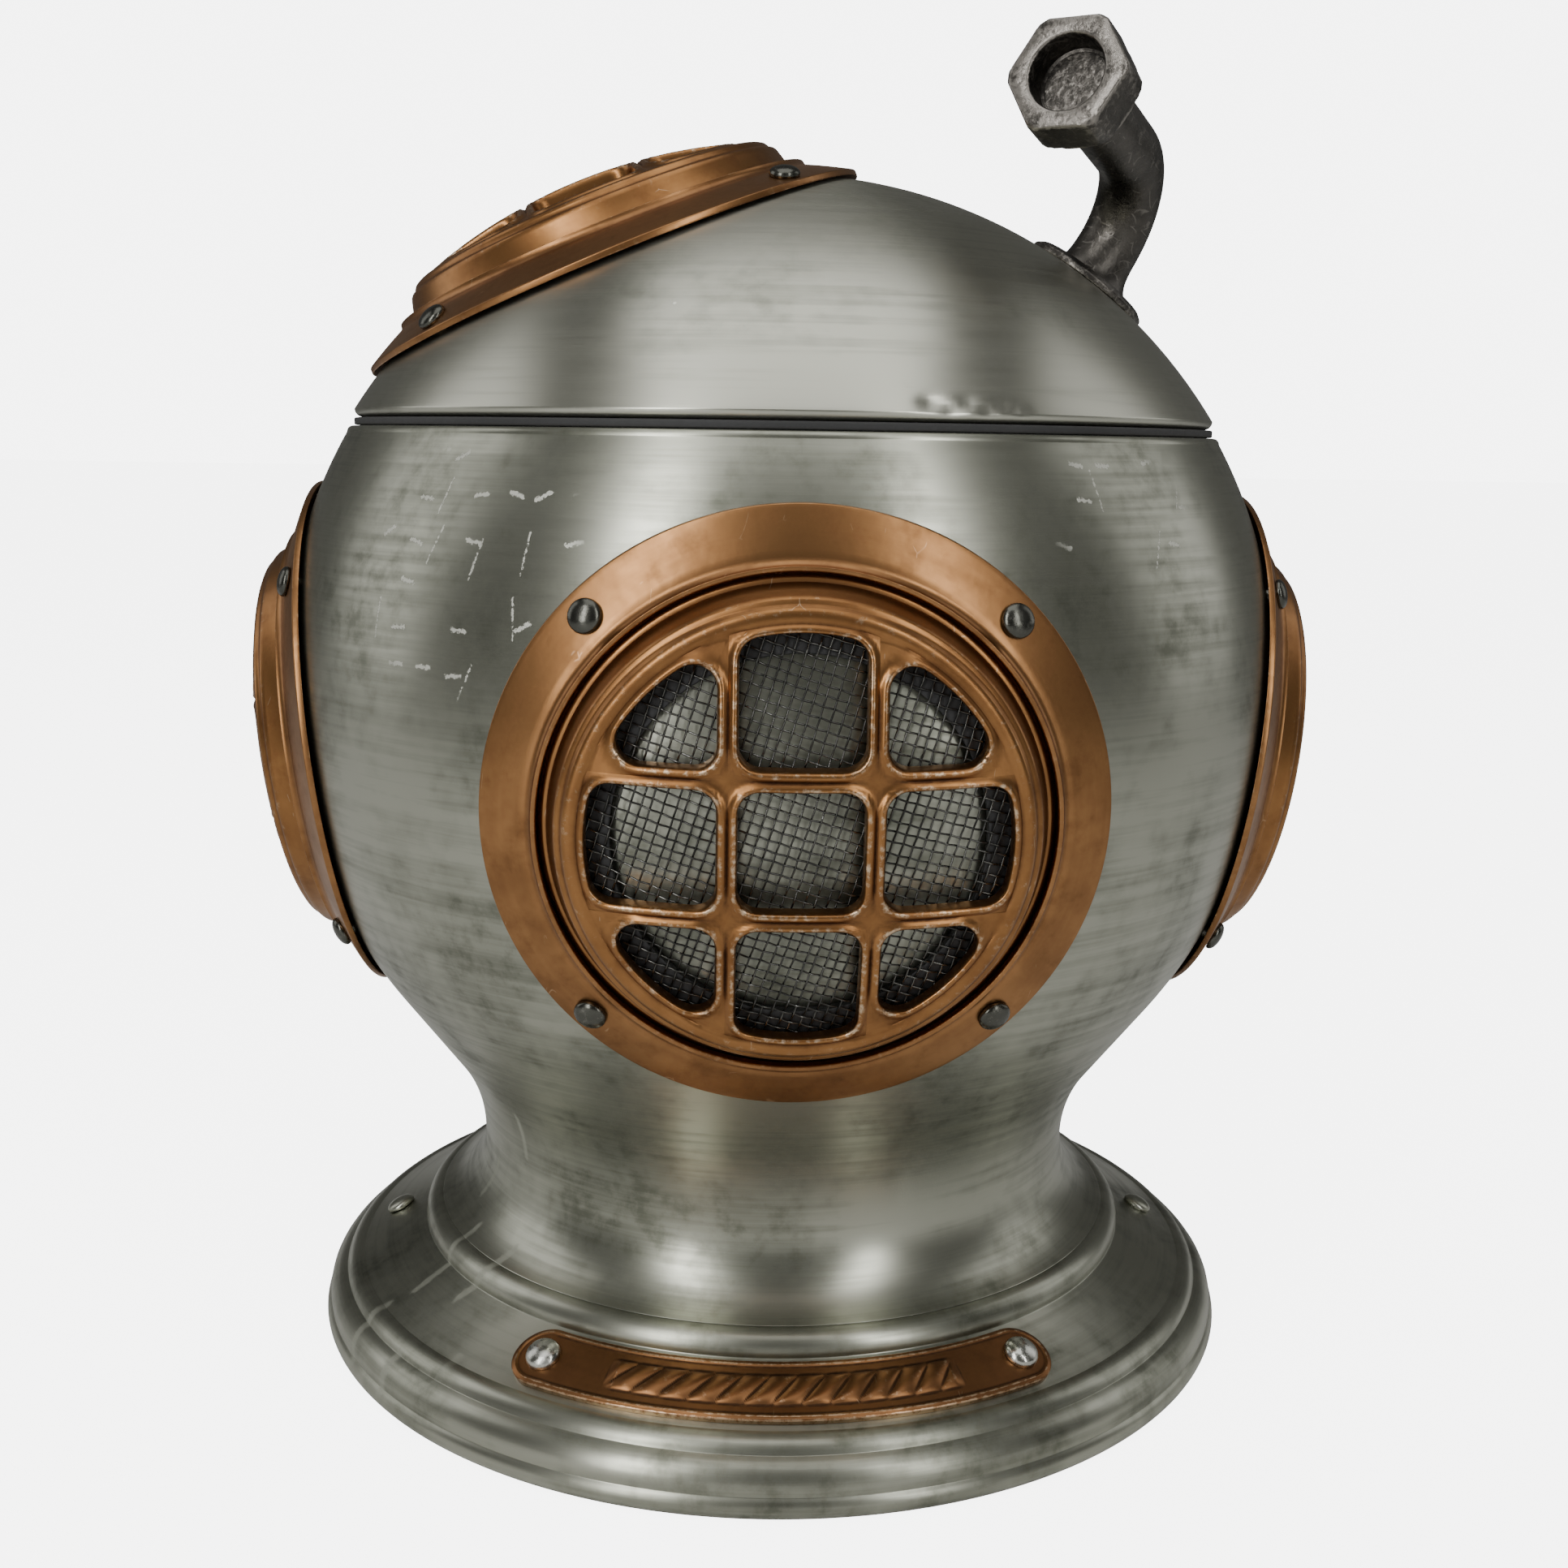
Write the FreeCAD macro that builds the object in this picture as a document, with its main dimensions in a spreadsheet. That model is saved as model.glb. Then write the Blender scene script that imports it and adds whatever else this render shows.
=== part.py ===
# Ice bucket in the form of a diving helmet: a spun foot, neck and bowl in one shell,
# an inner bucket for the ice, a lift-off domed lid, four grilled ports and an elbow pipe.
# Millimetres, +Z up, origin on the floor at the centre of the foot, front port towards -Y.
# Azimuths are measured from -Y towards +X, elevations from the horizontal.
import FreeCAD, Part
import Sketcher
import math
import os

V = FreeCAD.Vector
UP = V(0, 0, 1)
doc = FreeCAD.newDocument("ice_bucket")

SIZES = {
    # overall
    "foot_radius": 81.4, "bowl_radius": 85.0, "seam_rise": 43.5, "wall": 1.2, "seat_gap": 0.05,
    # foot and neck
    "floor_gap": 0.3, "rim_tuck": 1.4, "rim_lean": 0.9, "rim_top": 4.0, "rim_round": 2.2,
    "step_top": 9.0, "step_width": 3.8, "step_round": 4.2,
    "shoulder_top": 11.2, "shoulder_width": 3.0, "shoulder_round": 3.0,
    "plateau_width": 11.2, "plateau_top": 16.8, "bead_top": 20.6, "bead_round": 3.2,
    "neck_inset": 28.7, "neck_rise": 11.7, "flare_spread": 0.8, "funnel_slope": 0.75,
    "knee_rise": 9.3, "foot_lip_width": 4.8, "felt_thick": 1.5, "felt_clear": 0.4,
    "cover_thick": 1.4, "eye_inset": 6.7,
    "foot_rivet_inset": 2.7, "foot_rivet_head": 2.4, "foot_rivet_rise": 1.2,
    # mouth
    "mouth_lip": 6.03, "edge_round": 1.0,
    "liner_wall": 0.8, "liner_inset": 3.8, "liner_collar": 10.5, "liner_drop": 57.0,
    "liner_taper": 13.2, "liner_corner": 9.0, "liner_flange_width": 2.5,
    "liner_flange_thick": 0.6,
    "foam_thick": 5.0, "foam_clear": 0.5, "foam_drop": 6.5, "foam_lift": 0.3,
    # lid
    "lid_overhang": 1.1, "lid_drop": 0.5, "seam_gap": 1.4, "lid_lip_inset": 1.5,
    "lid_round": 1.3, "lid_yaw": -87.0,
    "seal_inset": 2.9, "seal_width": 2.5, "seal_clear": 0.1,
    "plug_clear": 3.2, "plug_depth": 7.0, "plug_wall": 0.8, "lid_foam_gap": 5.4,
    # ports
    "flange_bore": 35.7, "flange_width": 8.2, "flange_thick": 0.9, "flange_stand": 0.65,
    "collar_rise": 0.9, "collar_wall": 0.7, "collar_round": 1.3,
    "cup_skin": 1.0, "cup_clear": 0.4, "cup_foot_reach": 2.8, "cup_foot_thick": 0.5,
    "cup_taper": 2.4, "cup_shoulder_drop": 1.9, "cup_bead": 1.9, "cup_round": 2.4,
    "face_stand": 5.0, "face_thick": 2.5, "face_seat_inset": 3.3, "face_border": 2.3,
    "window": 16.8, "bar_width": 2.8, "window_round": 3.0,
    "mesh_stand": 1.6, "mesh_thick": 0.6, "mesh_clear": 1.0,
    "gasket_width": 5.5, "gasket_reach": 0.4, "gasket_clear": 0.05,
    "side_azimuth": 90.0, "port_drop": 7.24, "top_port_clear": 7.63,
    "port_rivet_inset": 4.0, "port_rivet_head": 2.45, "port_rivet_rise": 1.5,
    "rivet_shank": 1.2, "rivet_clear": 0.05, "rivet_tail": 2.0, "rivet_tail_rise": 0.8,
    "drill_depth": 8.0,
    # name plate and foot studs
    "plate_width": 10.4, "plate_thick": 1.0, "plate_azimuth": 32.4,
    "plate_rivet_head": 2.8, "plate_rivet_rise": 2.0,
    "stud_azimuth": 90.0, "stud_back_azimuth": 150.0, "stud_head": 2.6, "stud_rise": 1.5,
    # pipe
    "pipe_radius": 5.3, "pipe_azimuth": 172.5, "pipe_elevation": 53.7, "pipe_lean": 60.5,
    "pipe_turn_azimuth": 56.15, "pipe_turn_elevation": 14.0,
    "pipe_rise": 19.6, "pipe_reach": 36.9, "pipe_bend": 13.0,
    "pipe_foot_width": 5.9, "pipe_foot_rise": 1.7,
    "nut_wall": 2.7, "nut_length": 8.0, "socket_step": 0.5, "nut_bore_depth": 5.5, "nut_fit": 0.05,
    "screw_radius": 2.5, "screw_length": 12.0, "screw_head": 4.4, "screw_head_rise": 3.2,
    "screw_clear": 0.2, "tap_start": 6.0,
    "washer_radius": 7.0, "washer_thick": 1.0, "washer_drop": 0.4,
}

# sizes and places that follow from the ones above
LINKED = {
    "neck_radius": "foot_radius - neck_inset",
    "neck_height": "bead_top + neck_rise",
    "flare_round": "neck_rise + flare_spread",
    "plateau_outer": "foot_radius - step_width - shoulder_width",
    "plateau_inner": "plateau_outer - plateau_width",
    "foot_lip_radius": "foot_radius - foot_lip_width",
    "foot_eye": "neck_radius - eye_inset",
    "foot_rivet_circle": "neck_radius - foot_rivet_inset",
    "funnel_length": "sqrt(1 + funnel_slope * funnel_slope)",
    "funnel_top_radius": "bowl_radius / funnel_length",
    "funnel_top_drop": "bowl_radius * funnel_slope / funnel_length",
    "funnel_rise": "(funnel_top_radius - neck_radius) / funnel_slope",
    "bowl_centre": "neck_height + knee_rise + funnel_rise + funnel_top_drop",
    "seam_height": "bowl_centre + seam_rise",
    "mouth_radius": "sqrt(bowl_radius * bowl_radius - seam_rise * seam_rise) - mouth_lip",
    "liner_mouth": "mouth_radius - liner_inset",
    "liner_foot": "liner_mouth - liner_taper",
    "liner_floor": "bowl_centre - liner_drop",
    "liner_flange": "mouth_radius + liner_flange_width",
    "foam_top": "seam_height - foam_drop",
    "lid_radius": "bowl_radius + lid_overhang",
    "lid_centre": "bowl_centre - lid_drop",
    "lid_lip": "mouth_radius + lid_lip_inset",
    "seal_inner": "mouth_radius + seal_inset",
    "plug_radius": "liner_mouth - plug_clear",
    "flange_radius": "flange_bore + flange_width",
    "cup_base": "flange_bore - cup_clear",
    "cup_foot": "flange_bore + cup_foot_reach",
    "cup_shoulder": "cup_base - cup_taper",
    "cup_face": "cup_shoulder - cup_bead",
    "face_seat": "cup_base - face_seat_inset",
    "window_reach": "cup_face - face_border",
    "mesh_radius": "face_seat - mesh_clear",
    "gasket_radius": "face_seat + gasket_reach",
    "gasket_bore": "mesh_radius - gasket_width",
    "port_rivet_circle": "flange_radius - port_rivet_inset",
    "pipe_foot": "pipe_radius + pipe_foot_width",
    "nut_bore": "pipe_radius + socket_step",
    "nut_flats": "2 * (nut_bore + nut_wall)",
}


class Size:
    """A size held both as a number and as the sheet expression that gives it."""

    def __init__(self, value, text):
        self.value = value
        self.text = text

    def joined(self, other, sign, value):
        return Size(value, "(%s %s %s)" % (self.text, sign, text_of(other)))

    def __add__(self, other):
        return self.joined(other, "+", self.value + value_of(other))

    def __sub__(self, other):
        return self.joined(other, "-", self.value - value_of(other))

    def __mul__(self, other):
        return self.joined(other, "*", self.value * value_of(other))

    def __truediv__(self, other):
        return self.joined(other, "/", self.value / value_of(other))


def value_of(item):
    return item.value if isinstance(item, Size) else float(item)


def text_of(item):
    return item.text if isinstance(item, Size) else "%.6f" % item


def root(size):
    return Size(math.sqrt(size.value), "sqrt(%s)" % size.text)


def make_sheet():
    sheet = doc.addObject("Spreadsheet::Sheet", "Sizes")
    formulas = {name: "=" + formula for name, formula in LINKED.items()}
    for row, (name, content) in enumerate({**SIZES, **formulas}.items(), start=1):
        sheet.set("A%d" % row, name)
        sheet.setAlias("B%d" % row, name)
        sheet.set("B%d" % row, str(content))
    doc.recompute()
    return sheet


sheet = make_sheet()


def size(name):
    return Size(float(sheet.get(name)), "Sizes." + name)


def number(name):
    return float(sheet.get(name))


# ---------------------------------------------------------------- outlines of turned pieces

def line(x, z):
    return ("line", x, z)


def arc(x, z, radius, turn):
    """The next corner, reached along an arc that bends left (turn 1) or right (turn -1)."""
    return ("arc", x, z, radius, turn)


def arc_centre(start, end, radius, turn):
    middle = (start + end) * 0.5
    chord = end - start
    half = chord.Length / 2
    side = V(-chord.y, chord.x, 0).normalize()
    return middle + side * (turn * math.sqrt(max(radius * radius - half * half, 0.0)))


def corner(step):
    return V(value_of(step[1]), value_of(step[2]), 0)


def draw_outline(sketch, steps):
    """Draw a closed outline and bind every corner and radius to its expression."""
    count = len(steps)
    ends = []
    for index, step in enumerate(steps):
        start, end = corner(steps[index - 1]), corner(step)
        if step[0] == "line":
            sketch.addGeometry(Part.LineSegment(start, end), False)
            ends.append((1, 2))
            continue
        centre = arc_centre(start, end, value_of(step[3]), step[4])
        first, last = (start, end) if step[4] > 0 else (end, start)
        angles = [math.atan2(p.y - centre.y, p.x - centre.x) for p in (first, last)]
        circle = Part.Circle(centre, UP, (start - centre).Length)
        sketch.addGeometry(Part.ArcOfCircle(circle, angles[0], angles[1]), False)
        ends.append((1, 2) if step[4] > 0 else (2, 1))
    for index in range(count):
        following = (index + 1) % count
        sketch.addConstraint(Sketcher.Constraint(
            "Coincident", index, ends[index][1], following, ends[following][0]))
        bind_corner(sketch, index, ends[index][1], steps[index])
    for index, step in enumerate(steps):
        if step[0] == "arc":
            place = sketch.addConstraint(Sketcher.Constraint("Radius", index, value_of(step[3])))
            bind(sketch, place, step[3])


def bind(sketch, place, item):
    if isinstance(item, Size):
        sketch.setExpression("Constraints[%d]" % place, item.text)


def bind_corner(sketch, geometry, end, step):
    if value_of(step[1]) == 0:
        sketch.addConstraint(Sketcher.Constraint("PointOnObject", geometry, end, -2))
    else:
        place = sketch.addConstraint(Sketcher.Constraint(
            "DistanceX", -1, 1, geometry, end, value_of(step[1])))
        bind(sketch, place, step[1])
    place = sketch.addConstraint(Sketcher.Constraint(
        "DistanceY", -1, 1, geometry, end, value_of(step[2])))
    bind(sketch, place, step[2])


def origin_plane(body, role):
    return [item for item in body.Origin.OriginFeatures if item.Role == role][0]


def new_sketch(body, name, role):
    sketch = body.newObject("Sketcher::SketchObject", name)
    sketch.AttachmentSupport = [(origin_plane(body, role), "")]
    sketch.MapMode = "FlatFace"
    return sketch


def turned(label, steps):
    """A PartDesign body turned from one outline about its own Z axis."""
    body = doc.addObject("PartDesign::Body", label)
    body.Label = label
    sketch = new_sketch(body, label + "_outline", "XZ_Plane")
    draw_outline(sketch, steps)
    revolution = body.newObject("PartDesign::Revolution", label + "_turn")
    revolution.Profile = sketch
    revolution.ReferenceAxis = (sketch, ["V_Axis"])
    revolution.Angle = 360.0
    return body


def on_sphere(radius, across):
    """Height above the sphere's centre where the sphere has the given radius across."""
    return root(radius * radius - across * across)


# ---------------------------------------------------------------- directions and placements

def direction(azimuth, elevation):
    a, e = math.radians(azimuth), math.radians(elevation)
    return V(math.sin(a) * math.cos(e), -math.cos(a) * math.cos(e), math.sin(e))


def aimed(point, axis):
    """Placement at a point with local Z along the axis and local X level."""
    across = UP.cross(axis)
    across = across.normalize() if across.Length > 1e-9 else V(1, 0, 0)
    upright = V(axis).cross(across)
    return FreeCAD.Placement(point, FreeCAD.Rotation(across, upright, axis, "ZXY"))


BOWL_CENTRE = V(0, 0, number("bowl_centre"))
LID_CENTRE = V(0, 0, number("lid_centre"))
LID_YAW = FreeCAD.Placement(V(), FreeCAD.Rotation(UP, number("lid_yaw")))


def top_port_elevation():
    """High enough on the dome for the flange to clear the lid's rim."""
    radius = number("lid_radius")
    rim = math.asin((number("seam_height") + number("seam_gap") - LID_CENTRE.z) / radius)
    half = math.asin(number("flange_radius") / (radius + number("flange_stand")))
    return math.degrees(rim + half + number("top_port_clear") / radius)


# each port: name, seat sphere radius, placement of its axis from the sphere's centre
PORTS = [
    ("front", "bowl_radius", aimed(BOWL_CENTRE, direction(0, -number("port_drop")))),
    ("left", "bowl_radius",
     aimed(BOWL_CENTRE, direction(-number("side_azimuth"), -number("port_drop")))),
    ("right", "bowl_radius",
     aimed(BOWL_CENTRE, direction(number("side_azimuth"), -number("port_drop")))),
    ("top", "lid_radius",
     LID_YAW.multiply(aimed(LID_CENTRE, direction(0, top_port_elevation())))),
]
RIVET_CLOCKS = (45, 135, 225, 315)


def rivet_places(port_placement, radius):
    """Placements of a port's rivets, each standing on a sphere of the given radius."""
    angle = math.degrees(math.asin(number("port_rivet_circle") / number("bowl_radius")))
    tilt = FreeCAD.Rotation(V(0, 1, 0), angle)
    places = []
    for clock in RIVET_CLOCKS:
        spin = FreeCAD.Rotation(UP, clock).multiply(tilt)
        outward = spin.multVec(UP)
        places.append(port_placement.multiply(FreeCAD.Placement(outward * radius, spin)))
    return places


# ---------------------------------------------------------------- foot, neck and bowl

def funnel_points(offset):
    """Tangent points of the straight funnel between neck and bowl, on a skin set in by offset."""
    length = size("funnel_length")
    sine, cosine = size("funnel_slope") / length, Size(1, "1") / length
    tangent = size("knee_rise")
    top_x, top_z = size("funnel_top_radius"), size("bowl_centre") - size("funnel_top_drop")
    low_x = size("neck_radius") + tangent * sine
    low_z = size("neck_height") + tangent + tangent * cosine
    bend = tangent * sine / (Size(1, "1") - cosine)
    inner = ((low_x - offset * cosine, low_z + offset * sine),
             (top_x - offset * cosine, top_z + offset * sine))
    return inner, bend


def flare_x(height, radius):
    """Radius of the neck's lower flare at a height, for a skin of the given flare radius."""
    rise = size("neck_height") - height
    return size("neck_radius") + size("flare_round") - root(radius * radius - rise * rise)


def bowl_outline():
    wall, neck, neck_z = size("wall"), size("neck_radius"), size("neck_height")
    seam, bowl, centre = size("seam_height"), size("bowl_radius"), size("bowl_centre")
    flare, edge, mouth = size("flare_round"), size("edge_round"), size("mouth_radius")
    floor = size("bead_top") + size("seat_gap")
    (low, top), bend = funnel_points(Size(0, "0"))
    (low_in, top_in), _ = funnel_points(wall)
    edge_x = on_sphere(bowl, seam - edge - centre)
    lip = seam - wall
    return [
        line(0, floor),
        line(flare_x(floor, flare), floor),
        arc(neck, neck_z, flare, -1),
        arc(low[0], low[1], bend, -1),
        line(top[0], top[1]),
        arc(edge_x, seam - edge, bowl, 1),
        arc(edge_x - edge, seam, edge, 1),
        line(mouth, seam),
        line(mouth, lip),
        line(on_sphere(bowl - wall, lip - centre), lip),
        arc(top_in[0], top_in[1], bowl - wall, -1),
        line(low_in[0], low_in[1]),
        arc(neck - wall, neck_z, bend + wall, 1),
        arc(flare_x(floor + wall, flare + wall), floor + wall, flare + wall, 1),
        line(0, floor + wall),
    ]


def plateau_offset():
    """Step from the foot's sloping plateau to its underside, square to the slope."""
    wall, run = size("wall"), size("plateau_width")
    rise = size("plateau_top") - size("shoulder_top")
    length = root(run * run + rise * rise)
    return wall * rise / length, wall * run / length


def foot_outline():
    wall, foot, bead = size("wall"), size("foot_radius"), size("bead_top")
    step_x, shoulder_x = foot - size("step_width"), size("plateau_outer")
    bead_x = flare_x(bead, size("flare_round"))
    in_x, in_z = plateau_offset()
    gap, lip = size("floor_gap"), size("foot_lip_radius")
    return [
        line(lip, gap),
        line(foot - size("rim_tuck"), gap),
        arc(foot - size("rim_lean"), size("rim_top"), size("rim_round"), 1),
        arc(step_x, size("step_top"), size("step_round"), 1),
        arc(shoulder_x, size("shoulder_top"), size("shoulder_round"), 1),
        line(size("plateau_inner"), size("plateau_top")),
        arc(bead_x, bead, size("bead_round"), 1),
        line(size("foot_eye"), bead),
        line(size("foot_eye"), bead - wall),
        line(bead_x - wall * 0.7, bead - wall),
        line(size("plateau_inner") - in_x, size("plateau_top") - in_z),
        line(shoulder_x - in_x, size("shoulder_top") - in_z),
        line(step_x - wall, size("step_top") - wall),
        line(foot - wall * 1.7, size("rim_top")),
        line(foot - wall * 1.6, gap + wall),
        line(lip, gap + wall),
    ]


def stud_place(azimuth):
    """Placement on the middle of the foot's plateau, local Z square to the slope."""
    outer = V(number("plateau_outer"), 0, number("shoulder_top"))
    inner = V(number("plateau_inner"), 0, number("plateau_top"))
    run = (outer - inner).normalize()
    square = V(-run.z, 0, run.x)
    spin = FreeCAD.Placement(V(), FreeCAD.Rotation(UP, azimuth - 90))
    local = FreeCAD.Placement((outer + inner) * 0.5, FreeCAD.Rotation(V(0, 1, 0), run, square, "ZXY"))
    return spin.multiply(local)


def drilled(label, blank, places, radius_text):
    """Cut round holes, one at each place and along its local Z, out of a blank."""
    depth = number("drill_depth")
    drills = []
    for index, place in enumerate(places):
        drill = doc.addObject("Part::Cylinder", "%s_drill_%d" % (label, index))
        drill.setExpression("Radius", radius_text)
        drill.Height = depth
        drill.Placement = place.multiply(FreeCAD.Placement(V(0, 0, -depth / 2), FreeCAD.Rotation()))
        drills.append(drill)
    tool = drills[0]
    if len(drills) > 1:
        tool = doc.addObject("Part::MultiFuse", label + "_drills")
        tool.Shapes = drills
    cut = doc.addObject("Part::Cut", label)
    cut.Label = label
    cut.Base = blank
    cut.Tool = tool
    return cut


def plate_azimuths():
    return [-number("plate_azimuth"), number("plate_azimuth")]


def stud_azimuths():
    side, back = number("stud_azimuth"), number("stud_back_azimuth")
    return [-side, side, -back, back]


HOLE = "Sizes.rivet_shank + Sizes.rivet_clear"


def foot_rivet_places():
    """Under the bowl's floor, where rivets join it to the foot; local Z points down."""
    turn = FreeCAD.Rotation(V(1, 0, 0), 180)
    circle, height = number("foot_rivet_circle"), number("bead_top") - number("wall")
    spots = [direction(clock, 0) * circle + V(0, 0, height) for clock in RIVET_CLOCKS]
    return [FreeCAD.Placement(spot, turn) for spot in spots]


def make_shells():
    bowl_places = foot_rivet_places()
    for name, seat, placement in PORTS[:3]:
        bowl_places += rivet_places(placement, number(seat))
    foot_places = foot_rivet_places()
    foot_places += [stud_place(a) for a in plate_azimuths() + stud_azimuths()]
    bowl = drilled("bowl_shell", turned("bowl_blank", bowl_outline()), bowl_places, HOLE)
    foot = drilled("foot_ring", turned("foot_blank", foot_outline()), foot_places, HOLE)
    return [bowl, foot]


def make_foot_closers():
    lip, gap, wall = size("foot_lip_radius"), size("floor_gap"), size("wall")
    cover_z = gap + wall + size("seat_gap")
    cover_x = size("foot_radius") - size("rim_tuck") * 2
    felt, felt_x = size("felt_thick"), lip - size("felt_clear")
    cover = turned("bottom_cover", [
        line(0, cover_z), line(cover_x, cover_z),
        line(cover_x, cover_z + size("cover_thick")), line(0, cover_z + size("cover_thick"))])
    pad = turned("felt_pad", [
        line(0, 0), line(felt_x, 0), line(felt_x, felt), line(0, felt)])
    return [cover, pad]


# ---------------------------------------------------------------- inner bucket and foam

def liner_side(offset):
    """Corners of the bucket's side, mouth to floor, on a skin set out by offset from its inside."""
    mouth, foot = size("liner_mouth"), size("liner_foot")
    floor = size("liner_floor") + size("liner_wall")
    collar_z = size("seam_height") - size("liner_collar")
    corner_round = size("liner_corner")
    return {
        "collar": (mouth + offset, collar_z),
        "foot": (foot + offset, floor + corner_round),
        "floor": (foot - corner_round, floor - offset),
        "round": corner_round + offset,
    }


def make_liner():
    wall, seam = size("liner_wall"), size("seam_height")
    mouth, flange = size("liner_mouth"), size("liner_flange")
    base = seam + size("seat_gap")
    top = base + size("liner_flange_thick")
    inside, outside = liner_side(Size(0, "0")), liner_side(wall)
    return turned("ice_liner", [
        line(0, inside["floor"][1]),
        line(*inside["floor"]),
        arc(inside["foot"][0], inside["foot"][1], inside["round"], 1),
        line(*inside["collar"]),
        line(mouth, top),
        line(flange, top),
        line(flange, base),
        line(mouth + wall, base),
        line(*outside["collar"]),
        line(*outside["foot"]),
        arc(outside["floor"][0], outside["floor"][1], outside["round"], -1),
        line(0, outside["floor"][1]),
    ])


def make_body_foam():
    clear = size("liner_wall") + size("foam_clear")
    inner, outer = liner_side(clear), liner_side(clear + size("foam_thick"))
    top = size("foam_top")
    return turned("body_insulation", [
        line(0, inner["floor"][1]),
        line(*inner["floor"]),
        arc(inner["foot"][0], inner["foot"][1], inner["round"], 1),
        line(*inner["collar"]),
        line(inner["collar"][0], top),
        line(outer["collar"][0], top),
        line(*outer["collar"]),
        line(*outer["foot"]),
        arc(outer["floor"][0], outer["floor"][1], outer["round"], -1),
        line(0, outer["floor"][1]),
    ])


# ---------------------------------------------------------------- lid

def make_lid_shell():
    wall, radius, centre = size("wall"), size("lid_radius"), size("lid_centre")
    base = size("seam_height") + size("seam_gap")
    rounding = size("lid_round")
    side_z = base + rounding
    side_x = on_sphere(radius, side_z - centre)
    lip = size("lid_lip")
    inner_x = on_sphere(radius - wall, base + wall - centre)
    blank = turned("lid_blank", [
        line(lip, base),
        line(side_x - rounding, base),
        arc(side_x, side_z, rounding, 1),
        arc(0, centre + radius, radius, 1),
        line(0, centre + radius - wall),
        arc(inner_x, base + wall, radius - wall, -1),
        line(lip, base + wall),
    ])
    blank.Placement = LID_YAW
    places = rivet_places(PORTS[3][2], number("lid_radius"))
    lid = drilled("lid_riveted", blank, places, HOLE)
    return drilled("lid_shell", lid, [pipe_foot_place()], "Sizes.screw_radius + Sizes.screw_clear")


def make_lid_inside():
    wall, centre = size("plug_wall"), size("lid_centre")
    base = size("seam_height") + size("seam_gap") + size("wall") + size("seat_gap")
    plug, flange = size("plug_radius"), size("seal_inner")
    bottom = size("seam_height") - size("plug_depth")
    cup = turned("lid_plug", [
        line(0, bottom), line(plug, bottom), line(plug, base + wall), line(plug - wall, base + wall),
        line(plug - wall, bottom + wall), line(0, bottom + wall)])
    inner_x = plug + size("seat_gap")
    tray = turned("lid_plug_rim", [
        line(inner_x, base), line(flange, base), line(flange, base + wall), line(inner_x, base + wall)])
    dome = size("lid_radius") - size("wall") - size("lid_foam_gap")
    foam_z = base + wall + size("foam_clear")
    foam_x = on_sphere(dome, foam_z - centre)
    plug_x = plug - wall - size("foam_clear")
    floor = bottom + wall + size("foam_lift")
    foam = turned("lid_insulation", [
        line(0, floor), line(plug_x, floor), line(plug_x, foam_z), line(foam_x, foam_z),
        arc(0, centre + dome, dome, 1)])
    inner, top = size("seal_inner"), size("seam_height") + size("seam_gap") - size("seal_clear")
    low = size("seam_height") + size("seal_clear")
    seal = turned("lid_seal", [
        line(inner, low), line(inner + size("seal_width"), low),
        line(inner + size("seal_width"), top), line(inner, top)])
    pieces = [cup, tray, foam, seal]
    for piece in pieces:
        piece.Placement = LID_YAW
    return pieces


# ---------------------------------------------------------------- ports

def flange_outline(seat):
    low = size(seat) + size("flange_stand")
    high = low + size("flange_thick")
    bore, outer = size("flange_bore"), size("flange_radius")
    rise, rounding = size("collar_rise"), size("collar_round")
    lip_x = bore + size("collar_wall")
    top_z = on_sphere(high, lip_x) + rise
    foot_x = lip_x + rounding
    return [
        line(bore, on_sphere(low, bore)),
        arc(outer, on_sphere(low, outer), low, -1),
        line(outer, on_sphere(high, outer)),
        arc(foot_x, on_sphere(high, foot_x), high, 1),
        arc(lip_x, top_z, rounding * 1.15, -1),
        line(bore, top_z),
    ]


def cup_outline(seat):
    """The cast grille cup: a thin foot under the flange, a tapered wall and a thick domed face."""
    sphere, skin = size(seat), size("cup_skin")
    seated = sphere + size("seat_gap")
    foot_top = seated + size("cup_foot_thick")
    face = sphere + size("face_stand")
    inner = face - size("face_thick")
    edge_x, shoulder_x, seat_x = size("cup_face"), size("cup_shoulder"), size("face_seat")
    edge_z = on_sphere(face, edge_x)
    base_x, foot_x = size("cup_base"), size("cup_foot")
    return [
        line(0, face),
        arc(edge_x, edge_z, face, -1),
        arc(shoulder_x, edge_z - size("cup_shoulder_drop"), size("cup_round"), -1),
        line(base_x, on_sphere(foot_top, base_x)),
        arc(foot_x, on_sphere(foot_top, foot_x), foot_top, -1),
        line(foot_x, on_sphere(seated, foot_x)),
        arc(base_x - skin, on_sphere(seated, base_x - skin), seated, 1),
        line(seat_x, on_sphere(inner, seat_x)),
        arc(0, inner, inner, 1),
    ]


def gasket_outline(seat):
    """Black ring that the mesh rests on, shaped to the sphere."""
    low = size(seat) + size("seat_gap")
    high = size(seat) + size("mesh_stand") - size("gasket_clear")
    bore, outer = size("gasket_bore"), size("gasket_radius")
    return [
        line(bore, on_sphere(low, bore)),
        arc(outer, on_sphere(low, outer), low, -1),
        line(outer, on_sphere(high, outer)),
        arc(bore, on_sphere(high, bore), high, 1),
    ]


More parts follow.
